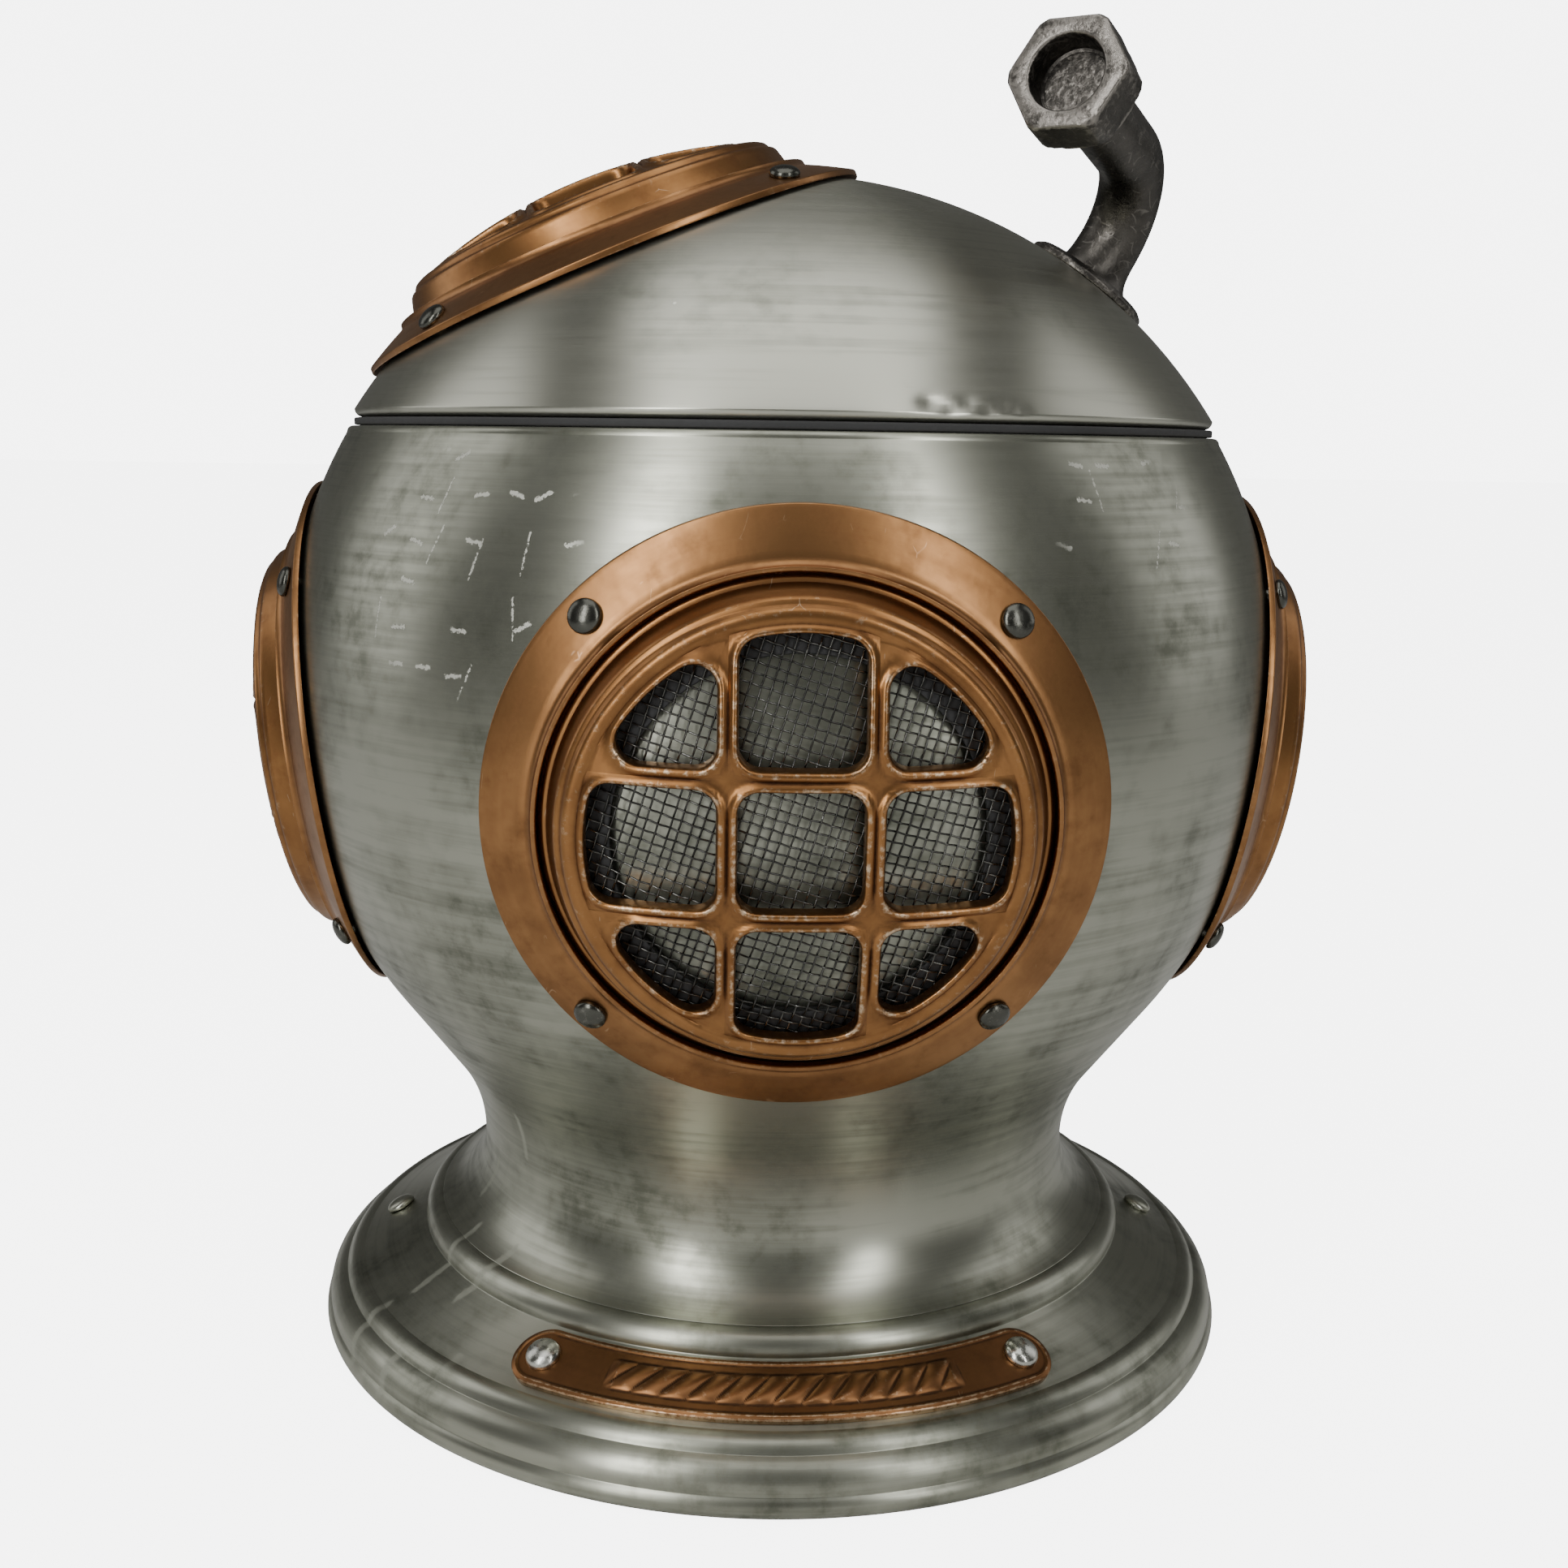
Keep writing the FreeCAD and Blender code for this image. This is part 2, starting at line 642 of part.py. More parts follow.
def window_cutters(seat):
    """Nine rounded windows, three by three, kept inside the face's round border."""
    half, bar, reach = number("window") / 2, number("bar_width"), number("window_reach")
    spans = [(-reach, -half - bar), (-half, half), (half + bar, reach)]
    bottom, height = number(seat) / 2, number(seat)
    border = Part.makeCylinder(reach, height, V(0, 0, bottom))
    cutters = []
    for x0, x1 in spans:
        for y0, y1 in spans:
            block = Part.makeBox(x1 - x0, y1 - y0, height, V(x0, y0, bottom)).common(border)
            upright = [e for e in block.Edges if abs(e.tangentAt(e.FirstParameter).z) > 0.999]
            rounding = min(number("window_round"), 0.3 * min(e.Length for e in block.Edges))
            cutters.append(block.makeFillet(rounding, upright))
    return cutters


def make_port(name, seat, placement):
    flange = turned(name + "_port_flange", flange_outline(seat))
    flange.Placement = placement
    cup = turned(name + "_cup_blank", cup_outline(seat))
    mesh_low = size(seat) + size("mesh_stand")
    mesh_high = mesh_low + size("mesh_thick")
    reach = size("mesh_radius")
    mesh = turned(name + "_port_mesh", [
        line(0, mesh_low),
        arc(reach, on_sphere(mesh_low, reach), mesh_low, -1),
        line(reach, on_sphere(mesh_high, reach)),
        arc(0, mesh_high, mesh_high, 1),
    ])
    mesh.Placement = placement
    gasket = turned(name + "_port_gasket", gasket_outline(seat))
    gasket.Placement = placement
    doc.recompute()
    grille = doc.addObject("Part::Feature", name + "_port_grille")
    grille.Label = name + "_port_grille"
    grille.Shape = cup.Shape.cut(window_cutters(seat)).Solids[0]
    grille.Placement = placement
    stand = number("flange_stand") + number("flange_thick")
    rivet = make_rivet(number("port_rivet_head"), number("port_rivet_rise"), stand, number("wall"))
    places = rivet_places(placement, number(seat))
    rivets = group_of(name + "_port_rivets", rivet, places)
    flange_cut = drilled(name + "_port_flange_drilled", flange, places, HOLE)
    flange.Label = name + "_port_flange_blank"
    flange_cut.Label = name + "_port_flange"
    return [flange_cut, grille, gasket, mesh, rivets]


# ---------------------------------------------------------------- rivets and plate

def make_rivet(head, rise, stand, grip):
    """A rivet along Z: domed head above the stand, shank through the grip, peened tail inside."""
    shank, tail, tail_rise = number("rivet_shank"), number("rivet_tail"), number("rivet_tail_rise")
    gap = number("seat_gap")
    head_z = stand + gap
    tail_z = -grip - gap
    slant = 0.72
    dome = Part.Arc(V(head, 0, head_z + 0.15), V(head * slant, 0, head_z + rise * slant),
                    V(0, 0, head_z + rise)).toShape()
    peen = Part.Arc(V(0, 0, tail_z - tail_rise), V(tail * slant, 0, tail_z - tail_rise * slant),
                    V(tail, 0, tail_z)).toShape()
    corners = [V(tail, 0, tail_z), V(shank, 0, tail_z), V(shank, 0, head_z),
               V(head, 0, head_z), V(head, 0, head_z + 0.15)]
    straight = [Part.LineSegment(a, b).toShape() for a, b in zip(corners, corners[1:])]
    axis = Part.LineSegment(V(0, 0, head_z + rise), V(0, 0, tail_z - tail_rise)).toShape()
    outline = Part.Wire([peen] + straight + [dome, axis])
    return Part.Face(outline).revolve(V(), UP, 360)


def group_of(label, shape, places):
    """Separate copies of one solid, kept together as one node."""
    copies = [shape.transformGeometry(place.toMatrix()) for place in places]
    group = doc.addObject("Part::Feature", label)
    group.Label = label
    group.Shape = Part.makeCompound(copies)
    return group


def make_name_plate():
    width, thick = number("plate_width"), number("plate_thick")
    lift, end = number("seat_gap"), number("plate_azimuth")
    start = stud_place(-end)
    corners = [V(0, y, z) for y, z in ((-width / 2, lift), (width / 2, lift),
                                       (width / 2, lift + thick), (-width / 2, lift + thick))]
    section = Part.Face(Part.makePolygon(corners + corners[:1]))
    band = section.transformGeometry(start.toMatrix()).revolve(V(), UP, 2 * end)
    plate = band
    for azimuth in plate_azimuths():
        tip = Part.makeCylinder(width / 2, thick, V(0, 0, lift))
        plate = plate.fuse(tip.transformGeometry(stud_place(azimuth).toMatrix()))
    hole, depth = number("rivet_shank") + number("rivet_clear"), number("drill_depth")
    for azimuth in plate_azimuths():
        drill = Part.makeCylinder(hole, depth, V(0, 0, -depth / 2))
        plate = plate.cut(drill.transformGeometry(stud_place(azimuth).toMatrix()))
    node = doc.addObject("Part::Feature", "name_plate")
    node.Label = "name_plate"
    node.Shape = plate.Solids[0]
    return node


def make_foot_fasteners():
    wall, gap = number("wall"), number("seat_gap")
    plate_rivet = make_rivet(number("plate_rivet_head"), number("plate_rivet_rise"),
                             number("plate_thick") + gap, wall)
    stud = make_rivet(number("stud_head"), number("stud_rise"), 0, wall)
    joint_rivet = make_rivet(number("foot_rivet_head"), number("foot_rivet_rise"), 0, 2 * wall + gap)
    return [
        group_of("name_plate_rivets", plate_rivet, [stud_place(a) for a in plate_azimuths()]),
        group_of("foot_studs", stud, [stud_place(a) for a in stud_azimuths()]),
        group_of("foot_rivets", joint_rivet, foot_rivet_places()),
    ]


# ---------------------------------------------------------------- elbow pipe

def pipe_foot_place():
    """On the lid's outside where the pipe stands, local Z square to the dome."""
    out = direction(number("pipe_azimuth"), number("pipe_elevation"))
    return LID_YAW.multiply(aimed(LID_CENTRE + out * number("lid_radius"), out))


def pipe_directions():
    """Directions of the pipe's rising leg and of its reaching leg, in the row's frame."""
    rise = direction(number("pipe_azimuth"), number("pipe_lean"))
    reach = direction(number("pipe_turn_azimuth"), number("pipe_turn_elevation"))
    return LID_YAW.Rotation.multVec(rise), LID_YAW.Rotation.multVec(reach)


def make_pipe():
    rise, reach = pipe_directions()
    foot = pipe_foot_place()
    turn = math.degrees(rise.getAngle(reach))
    square = rise.cross(reach).normalize()
    body = doc.addObject("PartDesign::Body", "pipe_elbow")
    start = number("pipe_foot_rise") * 0.75
    section = new_sketch(body, "pipe_section", "XY_Plane")
    section.AttachmentOffset = FreeCAD.Placement(V(0, 0, start), FreeCAD.Rotation())
    section.addGeometry(Part.Circle(V(), UP, number("pipe_radius")), False)
    section.addConstraint(Sketcher.Constraint("Coincident", 0, 3, -1, 1))
    place = section.addConstraint(Sketcher.Constraint("Radius", 0, number("pipe_radius")))
    section.setExpression("Constraints[%d]" % place, "Sizes.pipe_radius")
    route = new_sketch(body, "pipe_route", "XZ_Plane")
    draw_elbow(route, turn, start)
    sweep = body.newObject("PartDesign::AdditivePipe", "pipe_sweep")
    sweep.Profile = section
    sweep.Spine = route
    body.Placement = FreeCAD.Placement(
        foot.Base, FreeCAD.Rotation(square.cross(rise), square, rise, "ZYX"))
    base = make_pipe_foot(foot)
    whole = doc.addObject("Part::MultiFuse", "pipe_casting")
    whole.Shapes = [body, base]
    tap = doc.addObject("Part::Cylinder", "pipe_tap")
    tap.setExpression("Radius", "Sizes.screw_radius + Sizes.rivet_clear")
    tap.Height = number("screw_length") + number("tap_start")
    tap.Placement = foot.multiply(FreeCAD.Placement(UP * -number("tap_start"), FreeCAD.Rotation()))
    pipe = doc.addObject("Part::Cut", "air_pipe")
    pipe.Label = "air_pipe"
    pipe.Base = whole
    pipe.Tool = tap
    return pipe


def draw_elbow(route, turn, start_height):
    """The pipe's centre line in its own XZ plane: up, round the bend, and away."""
    bend, half = number("pipe_bend"), math.radians(turn / 2)
    tangent = bend * math.tan(half)
    start = V(0, start_height, 0)
    first = V(0, number("pipe_rise") - tangent, 0)
    away = V(math.sin(2 * half), math.cos(2 * half), 0)
    knee = V(0, number("pipe_rise"), 0)
    second = knee + away * tangent
    end = knee + away * number("pipe_reach")
    centre = first + V(bend, 0, 0)
    route.addGeometry(Part.LineSegment(start, first), False)
    angle = math.pi - 2 * half
    route.addGeometry(Part.ArcOfCircle(Part.Circle(centre, UP, bend), angle, math.pi), False)
    route.addGeometry(Part.LineSegment(second, end), False)
    route.addConstraint(Sketcher.Constraint("Coincident", 0, 2, 1, 2))
    route.addConstraint(Sketcher.Constraint("Coincident", 1, 1, 2, 1))


def make_pipe_foot(foot):
    """The pipe's round foot, turned about its own axis to sit on the dome."""
    low, high = size("lid_radius") + size("seat_gap"), size("lid_radius") + size("pipe_foot_rise")
    outer = size("pipe_foot")
    base = turned("pipe_foot_disc", [
        line(0, low),
        arc(outer, on_sphere(low, outer), low, -1),
        line(outer, on_sphere(high, outer)),
        arc(0, high, high, 1),
    ])
    base.Placement = FreeCAD.Placement(LID_CENTRE, foot.Rotation)
    return base


def nut_face():
    """Centre of the hexagon's open face and the direction it looks."""
    rise, reach = pipe_directions()
    knee = pipe_foot_place().Base + rise * number("pipe_rise")
    seated = number("nut_length") - number("nut_bore_depth")
    tip = knee + reach * (number("pipe_reach") + number("nut_length") - seated)
    return tip, reach


def make_pipe_nut():
    tip, reach = nut_face()
    body = doc.addObject("PartDesign::Body", "pipe_nut")
    body.Label = "pipe_nut"
    outline = new_sketch(body, "nut_outline", "XY_Plane")
    across = number("nut_flats") / math.sqrt(3)
    points = [V(across * math.cos(math.radians(60 * k)), across * math.sin(math.radians(60 * k)), 0)
              for k in range(6)]
    for index in range(6):
        outline.addGeometry(Part.LineSegment(points[index], points[(index + 1) % 6]), False)
    circle = outline.addGeometry(Part.Circle(V(), UP, across), True)
    outline.addConstraint(Sketcher.Constraint("Coincident", circle, 3, -1, 1))
    for index in range(6):
        outline.addConstraint(Sketcher.Constraint("Coincident", index, 2, (index + 1) % 6, 1))
        outline.addConstraint(Sketcher.Constraint("PointOnObject", index, 1, circle))
        if index:
            outline.addConstraint(Sketcher.Constraint("Equal", 0, index))
    outline.addConstraint(Sketcher.Constraint("PointOnObject", 0, 1, -1))
    place = outline.addConstraint(Sketcher.Constraint("Radius", circle, across))
    outline.setExpression("Constraints[%d]" % place, "Sizes.nut_flats / sqrt(3)")
    pad = body.newObject("PartDesign::Pad", "nut_pad")
    pad.Profile = outline
    pad.setExpression("Length", "Sizes.nut_length")
    doc.recompute()
    solid = body.Shape.Volume
    for name, radius, depth, offset in (
            ("nut_seat", "Sizes.pipe_radius + Sizes.nut_fit", "Sizes.nut_length", 0),
            ("nut_socket", "Sizes.nut_bore", "Sizes.nut_bore_depth", number("nut_length"))):
        hole = new_sketch(body, name + "_outline", "XY_Plane")
        hole.AttachmentOffset = FreeCAD.Placement(V(0, 0, offset), FreeCAD.Rotation())
        hole.addGeometry(Part.Circle(V(), UP, number("pipe_radius")), False)
        hole.addConstraint(Sketcher.Constraint("Coincident", 0, 3, -1, 1))
        place = hole.addConstraint(Sketcher.Constraint("Radius", 0, number("pipe_radius")))
        hole.setExpression("Constraints[%d]" % place, radius)
        pocket = body.newObject("PartDesign::Pocket", name)
        pocket.Profile = hole
        pocket.setExpression("Length", depth)
        pocket.Reversed = offset == 0
        doc.recompute()
        if body.Shape.Volume >= solid - 1:
            raise RuntimeError(name + " cut nothing")
        solid = body.Shape.Volume
    back = tip - reach * number("nut_length")
    body.Placement = aimed(back, reach)
    return body


def make_pipe_fixing():
    """Screw and washer under the dome that hold the pipe."""
    foot = pipe_foot_place()
    under = -number("wall") - number("seat_gap")
    thick = number("washer_thick")
    shank = number("screw_radius")
    washer_under = under - thick - number("washer_drop")
    hole = shank + number("screw_clear")
    washer = Part.makeCylinder(number("washer_radius"), thick, V(0, 0, washer_under))
    washer = washer.cut(Part.makeCylinder(hole, thick, V(0, 0, washer_under)))
    head_top = washer_under - number("seat_gap")
    head = Part.makeCylinder(number("screw_head"), number("screw_head_rise"),
                             V(0, 0, head_top - number("screw_head_rise")))
    rod = Part.makeCylinder(shank, number("screw_length"), V(0, 0, head_top))
    screw = head.fuse(rod).removeSplitter()
    nodes = []
    for label, shape in (("pipe_washer", washer), ("pipe_screw", screw)):
        node = doc.addObject("Part::Feature", label)
        node.Label = label
        node.Shape = shape
        node.Placement = foot
        nodes.append(node)
    return nodes


# ---------------------------------------------------------------- build, check and write

def check_document():
    for item in doc.Objects:
        bad = [state for state in item.State if state in ("Invalid", "Error")]
        if bad:
            raise RuntimeError("%s is %s" % (item.Label, bad))


def write_nodes(nodes):
    os.makedirs("parts", exist_ok=True)
    for node in nodes:
        shape = node.Shape
        if shape.isNull() or not shape.isValid() or not shape.Solids:
            raise RuntimeError(node.Label + " has no valid solid")
        if min(solid.Volume for solid in shape.Solids) <= 0:
            raise RuntimeError(node.Label + " is inside out")
    for node in nodes:
        node.Shape.exportStep(os.path.join("parts", node.Label + ".step"))
        print("%-24s solids %d volume %.1f" % (
            node.Label, len(node.Shape.Solids), node.Shape.Volume))


def main():
    nodes = make_shells()
    nodes += make_foot_closers()
    nodes += [make_liner(), make_body_foam(), make_name_plate()]
    nodes += make_foot_fasteners()
    for name, seat, placement in PORTS:
        nodes += make_port(name, seat, placement)
    nodes += [make_lid_shell()]
    nodes += make_lid_inside()
    nodes += [make_pipe(), make_pipe_nut()]
    nodes += make_pipe_fixing()
    doc.recompute()
    check_document()
    write_nodes(nodes)


main()
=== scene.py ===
"""Looks for the diving-helmet ice bucket: spun metal, cast bronze ports and woven wire."""

import math
import random

import bmesh
import bpy
import numpy as np
from mathutils import Matrix, Vector


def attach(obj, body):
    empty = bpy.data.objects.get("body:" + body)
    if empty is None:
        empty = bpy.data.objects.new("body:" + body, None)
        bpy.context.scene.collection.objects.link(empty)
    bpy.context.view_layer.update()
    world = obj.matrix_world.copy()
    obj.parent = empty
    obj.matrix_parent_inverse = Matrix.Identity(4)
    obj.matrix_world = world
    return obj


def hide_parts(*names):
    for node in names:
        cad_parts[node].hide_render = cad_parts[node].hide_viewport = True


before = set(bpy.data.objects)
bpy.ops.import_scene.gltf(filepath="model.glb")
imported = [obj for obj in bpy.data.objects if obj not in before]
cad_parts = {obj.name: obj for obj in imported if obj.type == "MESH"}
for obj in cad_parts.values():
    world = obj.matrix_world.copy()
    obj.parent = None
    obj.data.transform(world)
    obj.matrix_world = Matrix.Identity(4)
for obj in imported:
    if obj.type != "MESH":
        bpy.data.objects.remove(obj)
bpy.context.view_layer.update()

MM = 0.001
random.seed(11)
noise = np.random.default_rng(7)

# ---------------------------------------------------------------- sizes, in millimetres

WALL = 1.2
BOWL_RADIUS, BOWL_CENTRE = 85.0, 113.0
LID_RADIUS, LID_CENTRE, LID_YAW = 86.1, 112.5, -87.0
SEAM, SEAM_GAP = 156.5, 1.4
MOUTH, EDGE_ROUND = 67.0, 1.0
FOOT_RADIUS, FOOT_LIP, FLOOR_GAP = 81.4, 76.6, 0.3
RIM_TOP, RIM_ROUND, RIM_TUCK = 4.0, 2.2, 1.4
STEP_X, STEP_TOP, STEP_ROUND = 77.6, 9.0, 4.2
SHOULDER_X, SHOULDER_TOP, SHOULDER_ROUND = 74.6, 11.2, 3.0
PLATEAU_X, PLATEAU_TOP = 63.4, 16.8
BEAD_TOP, BEAD_ROUND, FOOT_EYE = 20.6, 3.2, 46.0
NECK, NECK_HEIGHT, FLARE, FUNNEL_SLOPE = 52.7, 32.3, 12.5, 0.75
SEAT_GAP = 0.05
PLUG_RADIUS, PLUG_DEPTH, PLUG_WALL, SEAL_INNER = 60.0, 7.0, 0.8, 69.9

PORT_DROP, TOP_PORT_ELEVATION = 7.24, 67.3
FLANGE_RADIUS, FLANGE_BORE, FLANGE_STAND, FLANGE_THICK = 43.9, 35.7, 0.65, 0.9
COLLAR_RISE, COLLAR_WALL, COLLAR_ROUND = 0.9, 0.7, 1.3
FACE_STAND, FACE_THICK, FACE_EDGE, FACE_SEAT = 5.0, 2.5, 31.0, 32.0
CUP_BASE, CUP_FOOT = 35.3, 38.5
WINDOW, BAR, WINDOW_REACH, WINDOW_ROUND = 16.8, 2.8, 28.7, 3.0
MESH_STAND, MESH_RADIUS, MESH_PITCH, WIRE = 1.9, 31.0, 1.45, 0.15
MESH_TURN = -17.0
# The black ring under each mesh edge is painted shade: its bore, outer radius and top, in mm.
SHADE_RING_BORE, SHADE_RING_RADIUS, SHADE_RING_TOP = 25.5, 32.4, 1.55
PORT_RIVET_ANGLE, PORT_RIVET_HEAD, PORT_RIVET_RISE = 28.0, 2.45, 1.5
PLATE_WIDTH, PLATE_THICK, PLATE_AZIMUTH = 10.4, 1.0, 32.4
PLATE_RIVET_HEAD, PLATE_RIVET_RISE = 2.8, 2.0
STUD_AZIMUTHS, STUD_HEAD, STUD_RISE = (-90, 90, -150, 150), 2.6, 1.5

PIPE_RADIUS, PIPE_AZIMUTH, PIPE_ELEVATION, PIPE_LEAN = 5.3, 172.5, 53.7, 60.5
PIPE_TURN_AZIMUTH, PIPE_TURN_ELEVATION = 56.15, 14.0
PIPE_RISE, PIPE_REACH, PIPE_BEND = 19.6, 36.9, 13.0
PIPE_FOOT, PIPE_FOOT_RISE = 11.2, 1.7
NUT_FLATS, NUT_LENGTH, NUT_BORE, NUT_BORE_DEPTH = 17.0, 8.0, 5.8, 5.5


# ---------------------------------------------------------------- outlines

def line(x, z):
    return ("line", x, z)


def arc(x, z, radius, turn):
    """The next corner, reached along an arc that bends left (turn 1) or right (turn -1)."""
    return ("arc", x, z, radius, turn)


def arc_points(start, step, gap=0.8):
    end, radius, turn = np.array(step[1:3], float), step[3], step[4]
    chord = end - start
    length = np.hypot(*chord)
    side = np.array([-chord[1], chord[0]]) / length
    centre = (start + end) / 2 + side * turn * math.sqrt(max(radius ** 2 - length ** 2 / 4, 0))
    a = math.atan2(*(start - centre)[::-1])
    sweep = turn * 2 * math.asin(min(length / 2 / radius, 1))
    count = max(3, int(math.ceil(max(abs(sweep) * radius / gap, abs(sweep) / 0.2))))
    return [centre + radius * np.array([math.cos(a + sweep * k / count), math.sin(a + sweep * k / count)])
            for k in range(1, count + 1)]


def outline(steps, soft=0.25):
    """Points of a closed outline, with its sharp corners eased to a small radius."""
    points = []
    for index, step in enumerate(steps):
        start = np.array(steps[index - 1][1:3], float)
        points += arc_points(start, step) if step[0] == "arc" else [np.array(step[1:3], float)]
    return ease_corners(points, soft)


def ease_corners(points, soft):
    eased = []
    for index, point in enumerate(points):
        back = points[index - 1] - point
        ahead = points[(index + 1) % len(points)] - point
        lengths = np.hypot(*back), np.hypot(*ahead)
        if min(lengths) < 1e-6:
            continue
        turn = math.pi - math.acos(np.clip(back @ ahead / (lengths[0] * lengths[1]), -1, 1))
        if turn < 0.35 or point[0] < 0.01:
            eased.append(point)
            continue
        cut = min(soft * math.tan(turn / 2), 0.4 * min(lengths))
        first, last = point + back / lengths[0] * cut, point + ahead / lengths[1] * cut
        for t in np.linspace(0, 1, 5):
            eased.append((1 - t) ** 2 * first + 2 * t * (1 - t) * point + t ** 2 * last)
    return eased


def on_sphere(radius, across):
    return math.sqrt(radius ** 2 - across ** 2)


# ---------------------------------------------------------------- meshes

def direction(azimuth, elevation):
    """Unit vector; azimuth is measured from -Y towards +X."""
    a, e = math.radians(azimuth), math.radians(elevation)
    return Vector((math.sin(a) * math.cos(e), -math.cos(a) * math.cos(e), math.sin(e)))


def aimed(point, axis):
    """Matrix at a point with local Z along the axis and local X level."""
    axis = Vector(axis).normalized()
    across = Vector((0, 0, 1)).cross(axis)
    across = across.normalized() if across.length > 1e-6 else Vector((1, 0, 0))
    upright = axis.cross(across)
    turn = Matrix((across, upright, axis)).transposed().to_4x4()
    return Matrix.Translation(Vector(point)) @ turn


def metres(place):
    """The same placement with its position in metres."""
    out = place.copy()
    out.translation = place.translation * MM
    return out


def mark_curves(mesh):
    """Store each point's mean curvature, per millimetre and convex above zero, for wear and grime."""
    count = len(mesh.vertices)
    co = np.empty(count * 3)
    mesh.vertices.foreach_get("co", co)
    co = co.reshape(-1, 3) / MM
    normal = np.empty(count * 3)
    mesh.vertices.foreach_get("normal", normal)
    normal = normal.reshape(-1, 3)
    ends = np.empty(len(mesh.edges) * 2, int)
    mesh.edges.foreach_get("vertices", ends)
    a, b = ends.reshape(-1, 2).T
    gap = co[b] - co[a]
    square = np.maximum((gap ** 2).sum(1), 1e-4)
    curve, weight = np.zeros(count), np.full(count, 1e-9)
    for here, step in ((a, gap), (b, -gap)):
        np.add.at(curve, here, -2 * (step * normal[here]).sum(1) / np.sqrt(square))
        np.add.at(weight, here, np.sqrt(square))
    curve /= weight
    for _ in range(2):
        total, share = curve.copy(), np.ones(count)
        np.add.at(total, a, curve[b])
        np.add.at(total, b, curve[a])
        np.add.at(share, a, 1)
        np.add.at(share, b, 1)
        curve = total / share
    attribute = mesh.attributes.new("curve", "FLOAT", "POINT")
    attribute.data.foreach_set("value", curve.astype(np.float32))


def make_object(name, points, faces, crease=38, place=None):
    """A smooth-shaded object from points in millimetres, kept as "spot" and then put in place."""
    mesh = bpy.data.meshes.new(name)
    mesh.from_pydata([tuple(p) for p in np.asarray(points, float) * MM], [], faces)
    build = bmesh.new()
    build.from_mesh(mesh)
    bmesh.ops.remove_doubles(build, verts=build.verts, dist=0.004 * MM)
    bmesh.ops.recalc_face_normals(build, faces=build.faces)
    build.to_mesh(mesh)
    build.free()
    mesh.shade_smooth()
    mesh.set_sharp_from_angle(angle=math.radians(crease))
    mark_curves(mesh)
    spots = np.empty(len(mesh.vertices) * 3, np.float32)
    mesh.vertices.foreach_get("co", spots)
    mesh.attributes.new("spot", "FLOAT_VECTOR", "POINT").data.foreach_set("vector", spots / MM)
    if place is not None:
        mesh.transform(metres(place))
    obj = bpy.data.objects.new(name, mesh)
    bpy.context.scene.collection.objects.link(obj)
    return obj


def turned_mesh(points, turns):
    """Points and faces of an outline turned about Z."""
    angles = np.linspace(0, 2 * math.pi, turns, endpoint=False)
    rows, out = [], []
    for x, z in points:
        if x < 1e-6:
            rows.append([len(out)] * turns)
            out.append((0, 0, z))
        else:
            rows.append(list(range(len(out), len(out) + turns)))
            out += [(x * math.cos(a), x * math.sin(a), z) for a in angles]
    faces = []
    for index, row in enumerate(rows):
        after = rows[(index + 1) % len(rows)]
        for k in range(turns):
            n = (k + 1) % turns
            loop = list(dict.fromkeys((row[k], row[n], after[n], after[k])))
            if len(loop) > 2:
                faces.append(loop)
    return out, faces


def turned(name, points, turns=200, place=None):
    out, faces = turned_mesh(points, turns)
    return make_object(name, out, faces, place=place)


def finish_piece(obj, body, material, slot, *nodes):
    """Give a piece its material and its body, and hide the CAD nodes it stands for; the slot is not used."""
    obj.data.materials.clear()
    obj.data.materials.append(material)
    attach(obj, body)
    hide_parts(*nodes)
    return obj


# ---------------------------------------------------------------- node trees

def add(tree, kind, settings=(), **inputs):
    """Add a node; each input is a value or another node's output."""
    made = tree.nodes.new(kind)
    for key, value in dict(settings).items():
        setattr(made, key, value)
    for key, value in inputs.items():
        socket = made.inputs[int(key[1:])] if key[0] == "i" and key[1:].isdigit() else made.inputs[key]
        if isinstance(value, bpy.types.NodeSocket):
            tree.links.new(value, socket)
        else:
            socket.default_value = value
    return made


def calc(tree, operation, a, b=0.0, c=0.0, clamp=False):
    return add(tree, "ShaderNodeMath", {"operation": operation, "use_clamp": clamp},
               i0=a, i1=b, i2=c).outputs[0]


def vector(tree, operation, *given, result=0, **more):
    """A vector sum; result picks the output, 0 the vector and "Value" the number."""
    inputs = {f"i{index}": value for index, value in enumerate(given)}
    return add(tree, "ShaderNodeVectorMath", {"operation": operation}, **inputs, **more).outputs[result]


def between(tree, value, low, high, start=0.0, end=1.0):
    """Map a value from low..high to start..end, smoothly and held at both ends."""
    return add(tree, "ShaderNodeMapRange", {"interpolation_type": "SMOOTHSTEP"},
               i0=value, i1=low, i2=high, i3=start, i4=end).outputs[0]


def blend_colours(tree, share, a, b, how="MIX"):
    made = add(tree, "ShaderNodeMix", {"data_type": "RGBA", "blend_type": how})
    for index, value in ((0, share), (6, a), (7, b)):
        socket = made.inputs[index]
        if isinstance(value, bpy.types.NodeSocket):
            tree.links.new(value, socket)
        elif index:
            socket.default_value = (*value, 1)
        else:
            socket.default_value = value
    return made.outputs[2]


def fractal(tree, vector, scale, detail=3.0, roughness=0.5, dimensions="3D", **more):
    return add(tree, "ShaderNodeTexNoise", {"noise_dimensions": dimensions, "normalize": True},
               Vector=vector, Scale=scale, Detail=detail, Roughness=roughness, **more).outputs[0]


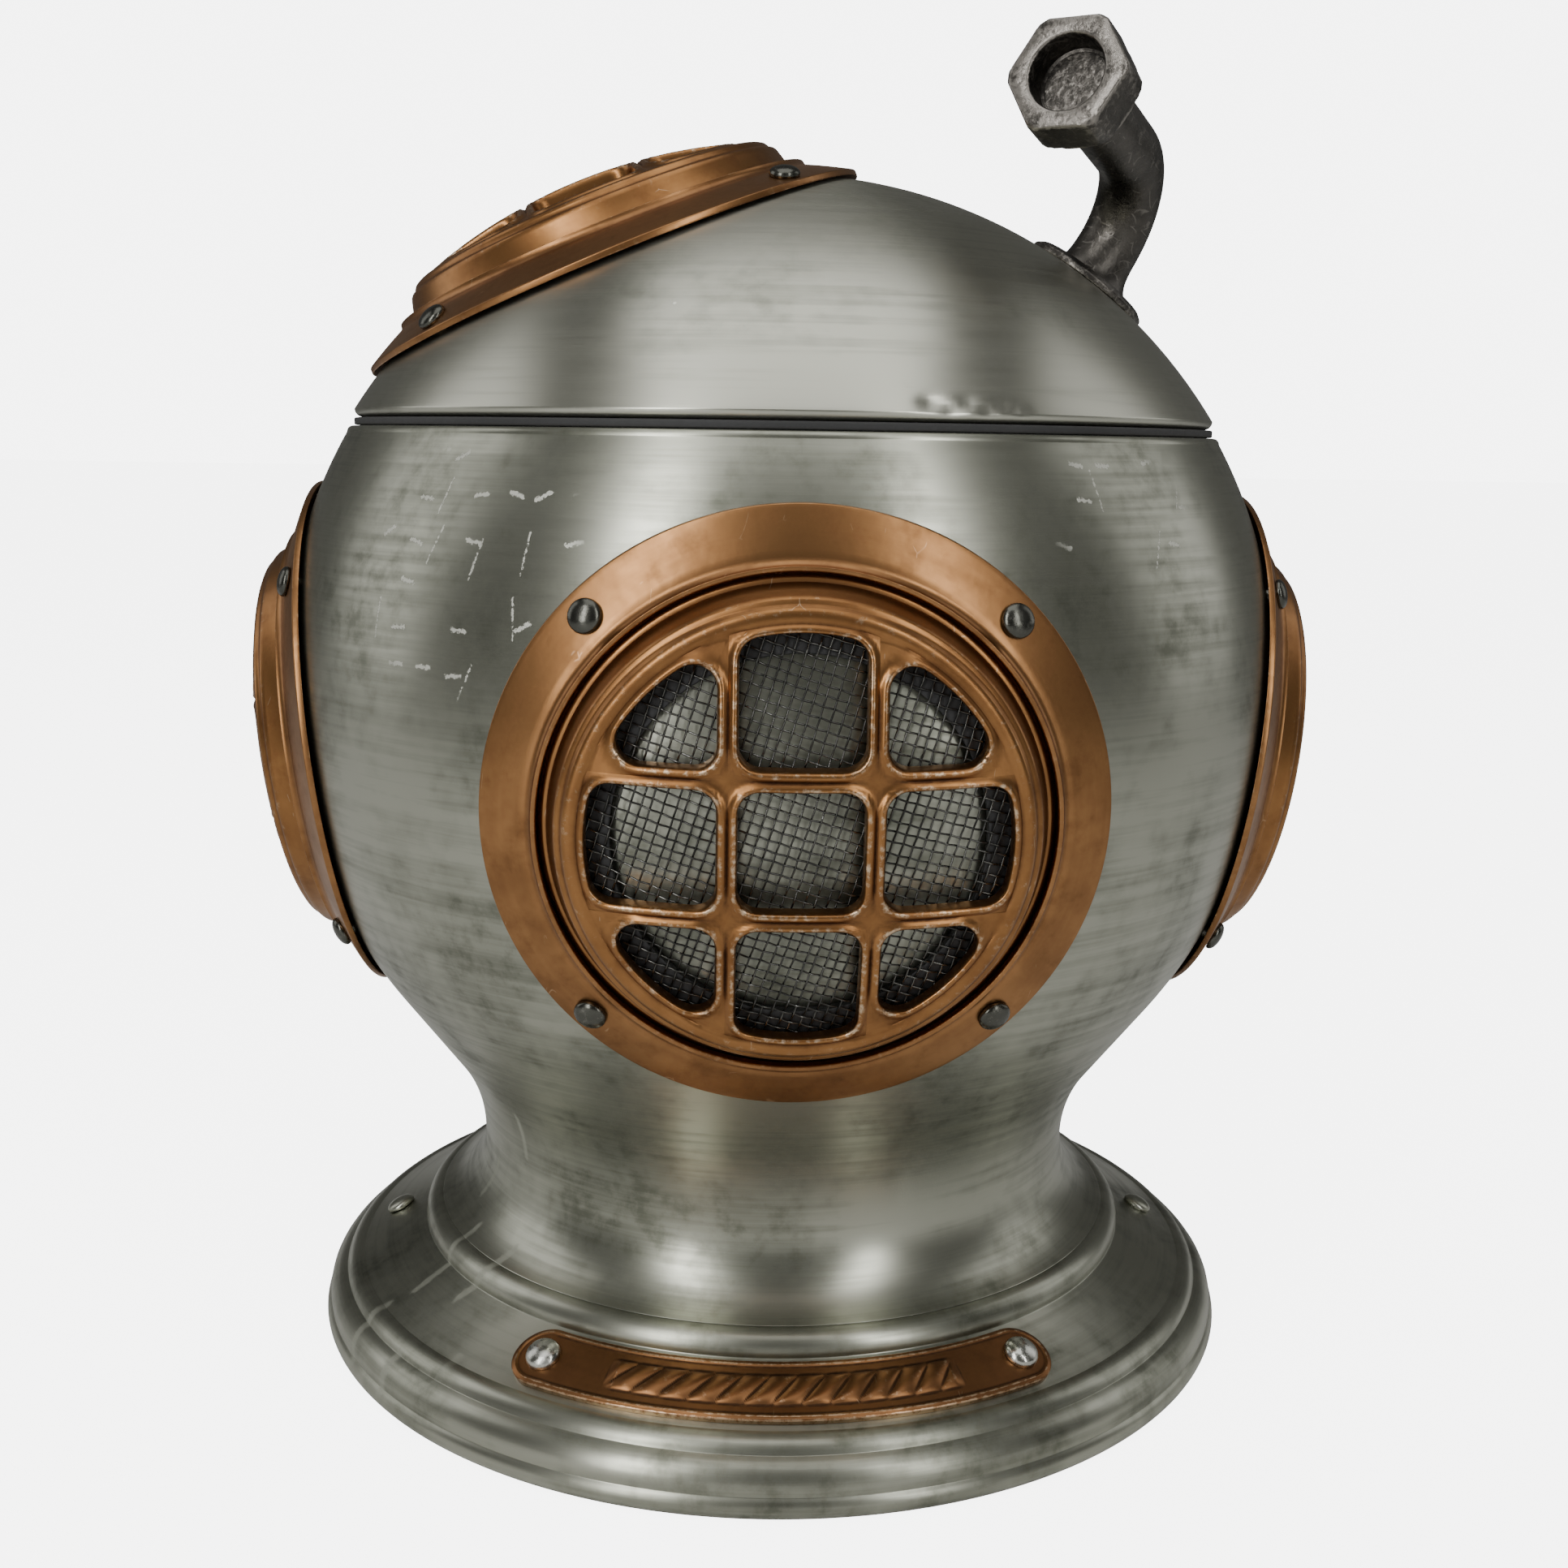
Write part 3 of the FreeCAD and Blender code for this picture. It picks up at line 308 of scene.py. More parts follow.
def new_group(name, inputs, outputs):
    """A shader node group with named number inputs and named outputs."""
    tree = bpy.data.node_groups.new(name, "ShaderNodeTree")
    for label, value in inputs.items():
        tree.interface.new_socket(label, in_out="INPUT", socket_type="NodeSocketFloat").default_value = value
    for label in outputs:
        tree.interface.new_socket(label, in_out="OUTPUT", socket_type="NodeSocketFloat")
    return tree, tree.nodes.new("NodeGroupInput").outputs, tree.nodes.new("NodeGroupOutput").inputs


def local_point(tree):
    """The point in the piece's own frame, in millimetres; without a stored one, the object's."""
    spot = add(tree, "ShaderNodeAttribute", {"attribute_name": "spot"}).outputs["Vector"]
    far = vector(tree, "LENGTH", spot, result="Value")
    here = add(tree, "ShaderNodeTexCoord").outputs["Object"]
    share = calc(tree, "MULTIPLY", calc(tree, "LESS_THAN", far, 1e-4), 1 / MM)
    return vector(tree, "ADD", spot, vector(tree, "SCALE", here, Scale=share))


def make_spun_lines():
    """Fine rings left by the spinning tool, about the piece's own Z axis."""
    tree, given, made = new_group("Spun lines", {"Fineness": 3.0, "Drift": 0.02},
                                  ["Height", "Bands"])
    here = local_point(tree)
    parts = add(tree, "ShaderNodeSeparateXYZ", i0=here).outputs
    across = calc(tree, "SQRT", calc(tree, "ADD", calc(tree, "MULTIPLY", parts[0], parts[0]),
                                     calc(tree, "MULTIPLY", parts[1], parts[1])))
    for scale, output, detail in ((1.0, "Height", 2.0), (0.16, "Bands", 3.0)):
        fine = calc(tree, "MULTIPLY", given["Fineness"], scale)
        drift = calc(tree, "MULTIPLY", given["Drift"], 1.0 if scale == 1.0 else 0.6)
        place = add(tree, "ShaderNodeCombineXYZ",
                    X=calc(tree, "MULTIPLY", across, fine),
                    Y=calc(tree, "MULTIPLY", parts[2], fine),
                    Z=calc(tree, "MULTIPLY", parts[0], drift)).outputs[0]
        rings = fractal(tree, place, 1.0, detail, 0.6, "4D", W=calc(tree, "MULTIPLY", parts[1], drift))
        tree.links.new(rings, made[output])
    return tree


def make_patches():
    """Cloudy patches of tarnish or handling, as a mask."""
    tree, given, made = new_group("Patches", {"Size": 20.0, "Cover": 0.5, "Softness": 0.15, "Seed": 0.0},
                                  ["Mask"])
    here = local_point(tree)
    scale = calc(tree, "DIVIDE", 1.0, given["Size"])
    warp = fractal(tree, here, calc(tree, "MULTIPLY", scale, 2.5), 2.0, 0.6, "4D", W=given["Seed"])
    cloud = fractal(tree, here, scale, 4.0, 0.62, "4D", W=calc(tree, "ADD", given["Seed"], warp))
    level = calc(tree, "SUBTRACT", 1.0, given["Cover"])
    low = calc(tree, "SUBTRACT", level, given["Softness"])
    high = calc(tree, "ADD", level, given["Softness"])
    tree.links.new(between(tree, cloud, low, high), made["Mask"])
    return tree


def make_hairlines():
    """Sparse thin scratches running in mixed directions, as a mask."""
    tree, given, made = new_group("Hairlines", {"Size": 10.0, "Cover": 0.3, "Width": 0.02, "Seed": 0.0},
                                  ["Mask"])
    here = local_point(tree)
    scale = calc(tree, "DIVIDE", 1.0, given["Size"])
    total = None
    for turn, shift in (((0.3, 0.9, 0.5), 1.7), ((1.2, -0.4, 2.1), 5.3)):
        moved = add(tree, "ShaderNodeMapping", i0=here, Rotation=turn, Scale=(1.0, 0.22, 1.0)).outputs[0]
        wobble = add(tree, "ShaderNodeTexNoise", {"noise_dimensions": "3D"}, Vector=moved,
                     Scale=0.25, Detail=1.0).outputs[1]
        bent = vector(tree, "MULTIPLY_ADD", wobble, (3.0, 3.0, 3.0), moved)
        cells = add(tree, "ShaderNodeTexVoronoi", {"feature": "DISTANCE_TO_EDGE", "voronoi_dimensions": "4D"},
                    Vector=bent, Scale=scale, W=calc(tree, "ADD", given["Seed"], shift)).outputs[0]
        thin = between(tree, cells, 0.0, given["Width"], 1.0, 0.0)
        broken = fractal(tree, here, calc(tree, "MULTIPLY", scale, 1.8), 2.0, 0.5, "4D",
                         W=calc(tree, "ADD", given["Seed"], shift * 3))
        kept = between(tree, broken, calc(tree, "SUBTRACT", 0.86, given["Cover"]),
                       calc(tree, "SUBTRACT", 0.92, given["Cover"]))
        one = calc(tree, "MULTIPLY", thin, kept)
        total = one if total is None else calc(tree, "MAXIMUM", total, one)
    tree.links.new(total, made["Mask"])
    return tree


def make_specks():
    """Small round pits, spots or chips, as a mask."""
    tree, given, made = new_group("Specks", {"Spacing": 3.0, "Size": 0.2, "Cover": 0.3, "Seed": 0.0},
                                  ["Mask"])
    here = local_point(tree)
    scale = calc(tree, "DIVIDE", 1.0, given["Spacing"])
    cells = add(tree, "ShaderNodeTexVoronoi", {"feature": "F1", "voronoi_dimensions": "4D"},
                Vector=here, Scale=scale, W=given["Seed"]).outputs
    pick = add(tree, "ShaderNodeSeparateColor", i0=cells[1]).outputs
    reach = calc(tree, "MULTIPLY", given["Size"], calc(tree, "ADD", 0.3, pick[1]))
    dot = between(tree, cells[0], calc(tree, "MULTIPLY", reach, 0.6), reach, 1.0, 0.0)
    kept = calc(tree, "LESS_THAN", pick[0], given["Cover"])
    tree.links.new(calc(tree, "MULTIPLY", dot, kept), made["Mask"])
    return tree


def make_wear():
    """Rubbed high edges and grimy hollows, from the surface's curvature."""
    tree, given, made = new_group("Wear and grime", {"Curve": 0.0, "Edge": 0.8, "Hollow": 0.5, "Size": 1.5},
                                  ["Rubbed", "Grime"])
    here = local_point(tree)
    rough = fractal(tree, here, calc(tree, "DIVIDE", 1.0, given["Size"]), 4.0, 0.7)
    vary = calc(tree, "MULTIPLY", between(tree, rough, 0.3, 0.7), given["Edge"])
    rubbed = between(tree, given["Curve"], calc(tree, "MULTIPLY", vary, 0.8),
                     calc(tree, "ADD", vary, calc(tree, "MULTIPLY", given["Edge"], 0.7)))
    below = calc(tree, "MULTIPLY", given["Curve"], -1.0)
    grime = between(tree, below, 0.02, calc(tree, "MULTIPLY", given["Hollow"], calc(tree, "ADD", 0.5, rough)))
    tree.links.new(rubbed, made["Rubbed"])
    tree.links.new(grime, made["Grime"])
    return tree


# Patches of marks on the body: middle, then reach, both as (azimuth in degrees, height in mm).
SCRATCHED = (((-35, 137), (15, 20)), ((36, 146), (12, 10)), ((150, 130), (35, 22)))
SMEARED = (((-56, 24), (16, 26)), ((64, 24), (12, 6)))


def unrolled_point(tree):
    """The wall unrolled flat: millimetres round from the front, height, nothing."""
    parts = add(tree, "ShaderNodeSeparateXYZ", i0=local_point(tree)).outputs
    turn = calc(tree, "ARCTAN2", parts[0], calc(tree, "MULTIPLY", parts[1], -1.0))
    round_wall = calc(tree, "MULTIPLY", turn, BOWL_RADIUS)
    return add(tree, "ShaderNodeCombineXYZ", X=round_wall, Y=parts[2]).outputs[0]


def make_strokes():
    """One short stroke in every other square of a grid: how far a point is outside it, in mm."""
    sizes = {"Pitch": 8.0, "Lean": 1.2, "Length": 0.6, "Half": 0.2, "Seed": 0.0}
    tree, given, made = new_group("Strokes", sizes, ["Gap"])
    grid = vector(tree, "SCALE", unrolled_point(tree), Scale=calc(tree, "DIVIDE", 1.0, given["Pitch"]))
    cell = vector(tree, "FLOOR", grid)
    inside = vector(tree, "FRACTION", grid)
    dice = add(tree, "ShaderNodeTexWhiteNoise", {"noise_dimensions": "4D"}, Vector=cell, W=given["Seed"])
    dice = dice.outputs
    centre = vector(tree, "MULTIPLY_ADD", dice["Color"], (0.3, 0.3, 0.0), (0.35, 0.35, 0.0))
    from_centre = vector(tree, "SUBTRACT", inside, centre)
    upright = calc(tree, "SUBTRACT", -0.45, given["Lean"])
    angle = calc(tree, "MULTIPLY_ADD", dice["Value"], 0.9, upright)
    level = add(tree, "ShaderNodeVectorRotate", {"rotation_type": "Z_AXIS"}, Vector=from_centre, Angle=angle)
    parts = add(tree, "ShaderNodeSeparateXYZ", i0=level.outputs[0]).outputs
    half_length = calc(tree, "MULTIPLY", given["Length"], 0.5)
    past = calc(tree, "MAXIMUM", calc(tree, "SUBTRACT", calc(tree, "ABSOLUTE", parts[0]), half_length), 0.0)
    away = calc(tree, "SQRT", calc(tree, "ADD", calc(tree, "MULTIPLY", past, past),
                                   calc(tree, "MULTIPLY", parts[1], parts[1])))
    gap = calc(tree, "SUBTRACT", calc(tree, "MULTIPLY", away, given["Pitch"]), given["Half"])
    second_throw = calc(tree, "FRACT", calc(tree, "MULTIPLY", dice["Value"], 7.0))
    left_out = calc(tree, "LESS_THAN", second_throw, 0.5)
    tree.links.new(calc(tree, "MULTIPLY_ADD", left_out, 9.0, gap), made["Gap"])
    return tree


def inside_patches(tree, flat, patches):
    """1 in the middle of a patch, falling to 0 at its reach."""
    nearest = 9.0
    for middle, reach in patches:
        size = (math.radians(reach[0]) * BOWL_RADIUS, reach[1], 1.0)
        centre = (math.radians(middle[0]) * BOWL_RADIUS, middle[1], 0.0)
        from_centre = vector(tree, "SUBTRACT", flat, centre)
        share = vector(tree, "LENGTH", vector(tree, "DIVIDE", from_centre, size), result="Value")
        nearest = calc(tree, "MINIMUM", share, nearest)
    return between(tree, nearest, 0.75, 1.0, 1.0, 0.0)


def make_handling_marks(strokes):
    """Scratches through the finish and dried smears of glue, each as a mask."""
    tree, given, made = new_group("Handling marks", {"Softness": 0.12}, ["Scratch", "Smear"])
    flat = unrolled_point(tree)
    ragged = fractal(tree, flat, 1.6, 3.0, 0.7)

    def stroked(**inputs):
        laid = add(tree, "ShaderNodeGroup", {"node_tree": strokes}, **inputs).outputs["Gap"]
        return calc(tree, "ADD", laid, between(tree, ragged, 0.35, 0.65, -0.1, 0.25))

    steep = stroked(Pitch=9.0, Lean=1.35, Length=0.62, Half=0.12, Seed=1.0)
    level = stroked(Pitch=6.0, Lean=0.1, Length=0.42, Half=0.30, Seed=6.0)
    scratch = between(tree, calc(tree, "MINIMUM", steep, level), -0.05, given["Softness"], 1.0, 0.0)
    tree.links.new(calc(tree, "MULTIPLY", scratch, inside_patches(tree, flat, SCRATCHED)), made["Scratch"])
    broad = stroked(Pitch=12.0, Lean=1.4, Length=0.66, Half=0.8, Seed=11.0)
    smear = between(tree, broad, -0.25, 0.45, 1.0, 0.0)
    tree.links.new(calc(tree, "MULTIPLY", smear, inside_patches(tree, flat, SMEARED)), made["Smear"])
    return tree


GROUPS = {
    "marks": make_handling_marks(make_strokes()), "lines": make_spun_lines(),
    "patches": make_patches(), "hairlines": make_hairlines(), "specks": make_specks(), "wear": make_wear(),
}


class Finish:
    """A material under construction: its node tree, its surface shader and its curvature socket."""

    def __init__(self, name, metallic=0.0, roughness=0.5, **constants):
        self.material = bpy.data.materials.new(name)
        self.material.use_nodes = True
        self.tree = self.material.node_tree
        self.surface = self.tree.nodes["Principled BSDF"]
        self.surface.inputs["Metallic"].default_value = metallic
        self.surface.inputs["Roughness"].default_value = roughness
        for label, value in constants.items():
            self.surface.inputs[label.replace("_", " ")].default_value = value
        self.curve = add(self.tree, "ShaderNodeAttribute", {"attribute_name": "curve"}).outputs["Fac"]

    def group(self, kind, **inputs):
        return add(self.tree, "ShaderNodeGroup", {"node_tree": GROUPS[kind]}, **inputs).outputs

    def feed(self, label, socket):
        self.tree.links.new(socket, self.surface.inputs[label])

    def bump(self, height, strength, depth, normal=None):
        """Relief from a height mask; depth is in millimetres."""
        made = add(self.tree, "ShaderNodeBump", Height=height, Strength=strength, Distance=depth * MM)
        if normal is not None:
            self.tree.links.new(normal, made.inputs["Normal"])
        self.feed("Normal", made.outputs[0])
        return made.outputs[0]


def spun_aluminium(name, seed, light, dark, cover, handled):
    """Spun, greyed aluminium with fine rings, tarnish patches and, on the body, handling marks."""
    f = Finish(name, metallic=1.0, Anisotropic=0.6, Anisotropic_Rotation=0.25)
    t = f.tree
    lines = f.group("lines", Fineness=4.2, Drift=0.035)
    large = f.group("patches", Size=30.0, Cover=cover, Softness=0.14, Seed=seed)[0]
    small = f.group("patches", Size=4.0, Cover=0.45, Softness=0.14, Seed=seed + 3)[0]
    spots = f.group("specks", Spacing=7.0, Size=0.05, Cover=0.22, Seed=seed)[0]
    worn = f.group("wear", Curve=f.curve, Edge=1.2, Hollow=0.9, Size=2.0)
    tone = calc(t, "MULTIPLY", large, calc(t, "MULTIPLY_ADD", small, 0.5, 0.6))
    tone = calc(t, "ADD", tone, between(t, lines["Bands"], 0.3, 0.75, -0.25, 0.25), clamp=True)
    colour = blend_colours(t, tone, light, dark)
    colour = blend_colours(t, calc(t, "MULTIPLY", worn["Grime"], 0.7), colour, (0.07, 0.072, 0.06))
    colour = blend_colours(t, calc(t, "MULTIPLY", worn["Rubbed"], 0.6), colour, (0.66, 0.66, 0.60))
    marks = spots
    rough = calc(t, "MULTIPLY_ADD", lines["Bands"], 0.10, 0.27)
    rough = calc(t, "MULTIPLY_ADD", tone, 0.08, rough)
    if handled:
        drawn = f.group("marks")
        marks = calc(t, "MAXIMUM", spots, drawn["Scratch"])
        smear = calc(t, "MULTIPLY", drawn["Smear"], 0.55)
        colour = blend_colours(t, smear, colour, (0.52, 0.53, 0.45))
        rough = calc(t, "MULTIPLY_ADD", smear, 0.35, rough)
    colour = blend_colours(t, calc(t, "MULTIPLY", marks, 0.85), colour, (0.86, 0.86, 0.78))
    f.feed("Base Color", colour)
    f.feed("Roughness", calc(t, "MULTIPLY_ADD", marks, 0.3, rough))
    f.feed("Tangent", add(t, "ShaderNodeTangent", {"direction_type": "RADIAL", "axis": "Z"}).outputs[0])
    relief = f.bump(lines["Height"], 0.12, 0.05)
    f.bump(marks, 0.25, 0.04, relief)
    return f.material


def antique_bronze(name, seed, light, deep, plum, rubbed_colour, rubbed_share, ring_bump=0.0):
    """Copper-bronze with a patina, dark hollows, rubbed edges and tiny pits."""
    f = Finish(name, metallic=1.0)
    t = f.tree
    lines = f.group("lines", Fineness=2.5, Drift=0.03)
    cloud = f.group("patches", Size=11.0, Cover=0.50, Softness=0.20, Seed=seed)[0]
    stain = f.group("patches", Size=4.0, Cover=0.40, Softness=0.12, Seed=seed + 5)[0]
    pits = f.group("specks", Spacing=3.2, Size=0.07, Cover=0.22, Seed=seed)[0]
    scuff = f.group("hairlines", Size=6.0, Cover=0.22, Width=0.010, Seed=seed + 2)[0]
    worn = f.group("wear", Curve=f.curve, Edge=0.9, Hollow=0.45, Size=1.1)
    tone = calc(t, "MULTIPLY_ADD", stain, 0.35, calc(t, "MULTIPLY", cloud, 0.65))
    tone = calc(t, "ADD", tone, between(t, lines["Bands"], 0.3, 0.7, -0.12, 0.12), clamp=True)
    colour = blend_colours(t, tone, light, deep)
    colour = blend_colours(t, calc(t, "MULTIPLY", worn["Grime"], 0.85), colour, plum)
    colour = blend_colours(t, calc(t, "MULTIPLY", worn["Rubbed"], rubbed_share), colour, rubbed_colour)
    colour = blend_colours(t, calc(t, "MULTIPLY", scuff, 0.35), colour, rubbed_colour)
    colour = blend_colours(t, calc(t, "MULTIPLY", pits, 0.8), colour, (0.03, 0.022, 0.018))
    f.feed("Base Color", colour)
    rough = calc(t, "MULTIPLY_ADD", tone, 0.12, 0.30)
    f.feed("Roughness", calc(t, "MULTIPLY_ADD", worn["Grime"], 0.15, rough))
    relief = f.bump(cloud, 0.25, 0.10)
    relief = f.bump(calc(t, "SUBTRACT", 1.0, pits), 0.5, 0.08, relief)
    if ring_bump:
        f.bump(lines["Height"], ring_bump, 0.04, relief)
    return f.material


def mottled_steel(name, seed, base, spot, share, rough):
    """Rivet steel: clouded, blotched and spotted, and grimy in its hollows."""
    f = Finish(name, metallic=1.0)
    t = f.tree
    blot = f.group("patches", Size=1.6, Cover=share, Softness=0.10, Seed=seed)[0]
    cloud = f.group("patches", Size=4.0, Cover=0.5, Softness=0.2, Seed=seed + 4)[0]
    worn = f.group("wear", Curve=f.curve, Edge=1.4, Hollow=0.5, Size=0.8)
    colour = blend_colours(t, calc(t, "MULTIPLY", cloud, 0.5), base, tuple(c * 0.45 for c in base))
    colour = blend_colours(t, calc(t, "MULTIPLY", blot, 0.6), colour, spot)
    colour = blend_colours(t, calc(t, "MULTIPLY", worn["Grime"], 0.7), colour, (0.02, 0.018, 0.016))
    f.feed("Base Color", colour)
    f.feed("Roughness", calc(t, "MULTIPLY_ADD", blot, 0.15, rough))
    f.bump(cloud, 0.3, 0.12)
    return f.material


def gunmetal(name):
    """Near-black casting with a grain and edges rubbed back to grey metal."""
    f = Finish(name, metallic=1.0)
    t = f.tree
    grain = f.group("patches", Size=0.9, Cover=0.5, Softness=0.25, Seed=2.0)[0]
    cloud = f.group("patches", Size=7.0, Cover=0.5, Softness=0.2, Seed=6.0)[0]
    scuff = f.group("hairlines", Size=4.0, Cover=0.34, Width=0.03, Seed=4.0)[0]
    worn = f.group("wear", Curve=f.curve, Edge=0.5, Hollow=0.35, Size=1.0)
    colour = blend_colours(t, cloud, (0.050, 0.047, 0.042), (0.105, 0.097, 0.086))
    colour = blend_colours(t, calc(t, "MULTIPLY", worn["Grime"], 0.7), colour, (0.02, 0.018, 0.016))
    rub = calc(t, "MAXIMUM", worn["Rubbed"], calc(t, "MULTIPLY", scuff, 0.5))
    colour = blend_colours(t, calc(t, "MULTIPLY", rub, 0.55), colour, (0.42, 0.39, 0.35))
    f.feed("Base Color", colour)
    f.feed("Roughness", calc(t, "MULTIPLY_ADD", grain, 0.12, 0.30))
    f.bump(calc(t, "MULTIPLY_ADD", cloud, 0.8, grain), 0.35, 0.12)
    return f.material


def woven_steel(name):
    """Drawn wire: grey, dulled in patches, with a fine grain."""
    f = Finish(name, metallic=1.0)
    t = f.tree
    cloud = f.group("patches", Size=6.0, Cover=0.5, Softness=0.2, Seed=1.0)[0]
    dust = f.group("specks", Spacing=0.9, Size=0.3, Cover=0.2, Seed=5.0)[0]
    colour = blend_colours(t, cloud, (0.13, 0.13, 0.12), (0.04, 0.04, 0.037))
    f.feed("Base Color", blend_colours(t, calc(t, "MULTIPLY", dust, 0.5), colour, (0.4, 0.4, 0.38)))
    f.feed("Roughness", calc(t, "MULTIPLY_ADD", cloud, 0.15, 0.22))
    return f.material


def moulded(name, colour, shade, roughness, grain=0.6, depth=0.03, **constants):
    """Moulded plastic, rubber or foam: faint clouding and a fine grain."""
    f = Finish(name, roughness=roughness, **constants)
    t = f.tree
    cloud = f.group("patches", Size=14.0, Cover=0.5, Softness=0.3, Seed=8.0)[0]
    fine = f.group("patches", Size=grain, Cover=0.5, Softness=0.3, Seed=3.0)[0]
    scuff = f.group("hairlines", Size=12.0, Cover=0.25, Width=0.01, Seed=7.0)[0]
    mixed = blend_colours(t, cloud, colour, shade)
    scuffed = tuple(c * 0.7 for c in colour)
    f.feed("Base Color", blend_colours(t, calc(t, "MULTIPLY", scuff, 0.2), mixed, scuffed))
    f.feed("Roughness", calc(t, "MULTIPLY_ADD", fine, 0.1, roughness - 0.05))
    f.bump(fine, 0.4, depth)
    return f.material


MATERIALS = {
    "spun_metal": spun_aluminium("spun_body_metal", 1.0,
                                 (0.42, 0.425, 0.355), (0.18, 0.185, 0.145), 0.50, True),
    "spun_lid": spun_aluminium("spun_lid_metal", 14.0,
                               (0.50, 0.50, 0.425), (0.26, 0.265, 0.215), 0.42, False),
    "flange": antique_bronze("bronze_flange", 2.0, (0.37, 0.185, 0.075), (0.18, 0.083, 0.033),
                             (0.045, 0.018, 0.013), (0.75, 0.50, 0.30), 0.7, 0.12),
    "grille": antique_bronze("bronze_grille", 9.0, (0.36, 0.175, 0.065), (0.19, 0.085, 0.032),
                             (0.035, 0.016, 0.012), (0.80, 0.64, 0.45), 0.8),
    "plate": antique_bronze("bronze_plate", 17.0, (0.26, 0.125, 0.052), (0.15, 0.070, 0.030),
                            (0.03, 0.016, 0.010), (0.62, 0.44, 0.28), 0.7),
    "rivet_steel": mottled_steel("rivet_steel", 3.0, (0.11, 0.11, 0.095), (0.32, 0.31, 0.27), 0.34, 0.26),
    "plate_rivet": mottled_steel("bright_rivet_steel", 5.0,
                                 (0.52, 0.52, 0.47), (0.75, 0.75, 0.70), 0.5, 0.20),
    "gunmetal": gunmetal("gunmetal_casting"),
    "wire_mesh": woven_steel("woven_wire"),
    "zinc_steel": mottled_steel("zinc_steel", 8.0, (0.50, 0.50, 0.52), (0.64, 0.64, 0.62), 0.4, 0.3),
    "seal_rubber": moulded("black_rubber", (0.02, 0.02, 0.02), (0.03, 0.03, 0.03), 0.62),
    "liner_plastic": moulded("bucket_plastic", (0.80, 0.80, 0.77), (0.72, 0.72, 0.69), 0.28,
                             Coat_Weight=0.2),
    "foam": moulded("cell_foam", (0.78, 0.74, 0.60), (0.70, 0.66, 0.52), 0.85, 1.2, 0.25),
    "felt": moulded("pressed_felt", (0.035, 0.05, 0.04), (0.05, 0.065, 0.055), 0.95, 0.5, 0.30,
                    Sheen_Weight=0.3),
}


# ---------------------------------------------------------------- foot, bowl and lid

def funnel(offset):
    """Tangent points and bend radius of the straight funnel between neck and bowl."""
    length = math.hypot(FUNNEL_SLOPE, 1)
    sine, cosine = FUNNEL_SLOPE / length, 1 / length
    top = np.array([BOWL_RADIUS * cosine, BOWL_CENTRE - BOWL_RADIUS * sine])
    knee = top[1] - (top[0] - NECK) / FUNNEL_SLOPE
    tangent = knee - NECK_HEIGHT
    low = np.array([NECK + tangent * sine, knee + tangent * cosine])
    inward = np.array([-cosine, sine]) * offset
    return low + inward, top + inward, tangent * sine / (1 - cosine)


def flare_x(height, radius):
    """Radius of the neck's lower flare at a height."""
    return NECK + FLARE - math.sqrt(radius ** 2 - (NECK_HEIGHT - height) ** 2)


def bowl_outline():
    low, top, bend = funnel(0)
    low_in, top_in, _ = funnel(WALL)
    floor = BEAD_TOP + SEAT_GAP
    edge_x = on_sphere(BOWL_RADIUS, SEAM - EDGE_ROUND - BOWL_CENTRE)
    lip = SEAM - WALL
    return outline([
        line(0, floor),
        line(flare_x(floor, FLARE), floor),
        arc(NECK, NECK_HEIGHT, FLARE, -1),
        arc(low[0], low[1], bend, -1),
        line(top[0], top[1]),
        arc(edge_x, SEAM - EDGE_ROUND, BOWL_RADIUS, 1),
        arc(edge_x - EDGE_ROUND, SEAM, EDGE_ROUND, 1),
        line(MOUTH, SEAM),
        line(MOUTH, lip),
        line(on_sphere(BOWL_RADIUS - WALL, lip - BOWL_CENTRE), lip),
        arc(top_in[0], top_in[1], BOWL_RADIUS - WALL, -1),
        line(low_in[0], low_in[1]),
        arc(NECK - WALL, NECK_HEIGHT, bend + WALL, 1),
        arc(flare_x(floor + WALL, FLARE + WALL), floor + WALL, FLARE + WALL, 1),
        line(0, floor + WALL),
    ])


def foot_outline():
    bead_x = flare_x(BEAD_TOP, FLARE)
    run, rise = SHOULDER_X - PLATEAU_X, PLATEAU_TOP - SHOULDER_TOP
    in_x, in_z = (WALL * part / math.hypot(run, rise) for part in (rise, run))
    return outline([
        line(FOOT_LIP, FLOOR_GAP),
        line(FOOT_RADIUS - RIM_TUCK, FLOOR_GAP),
        arc(FOOT_RADIUS - 0.9, RIM_TOP, RIM_ROUND, 1),
        arc(STEP_X, STEP_TOP, STEP_ROUND, 1),
        arc(SHOULDER_X, SHOULDER_TOP, SHOULDER_ROUND, 1),
        line(PLATEAU_X, PLATEAU_TOP),
        arc(bead_x, BEAD_TOP, BEAD_ROUND, 1),
        line(FOOT_EYE, BEAD_TOP),
        line(FOOT_EYE, BEAD_TOP - WALL),
        line(bead_x - WALL * 0.7, BEAD_TOP - WALL),
        line(PLATEAU_X - in_x, PLATEAU_TOP - in_z),
        line(SHOULDER_X - in_x, SHOULDER_TOP - in_z),
        line(STEP_X - WALL, STEP_TOP - WALL),
        line(FOOT_RADIUS - WALL * 1.7, RIM_TOP),
        line(FOOT_RADIUS - WALL * 1.6, FLOOR_GAP + WALL),
        line(FOOT_LIP, FLOOR_GAP + WALL),
    ])


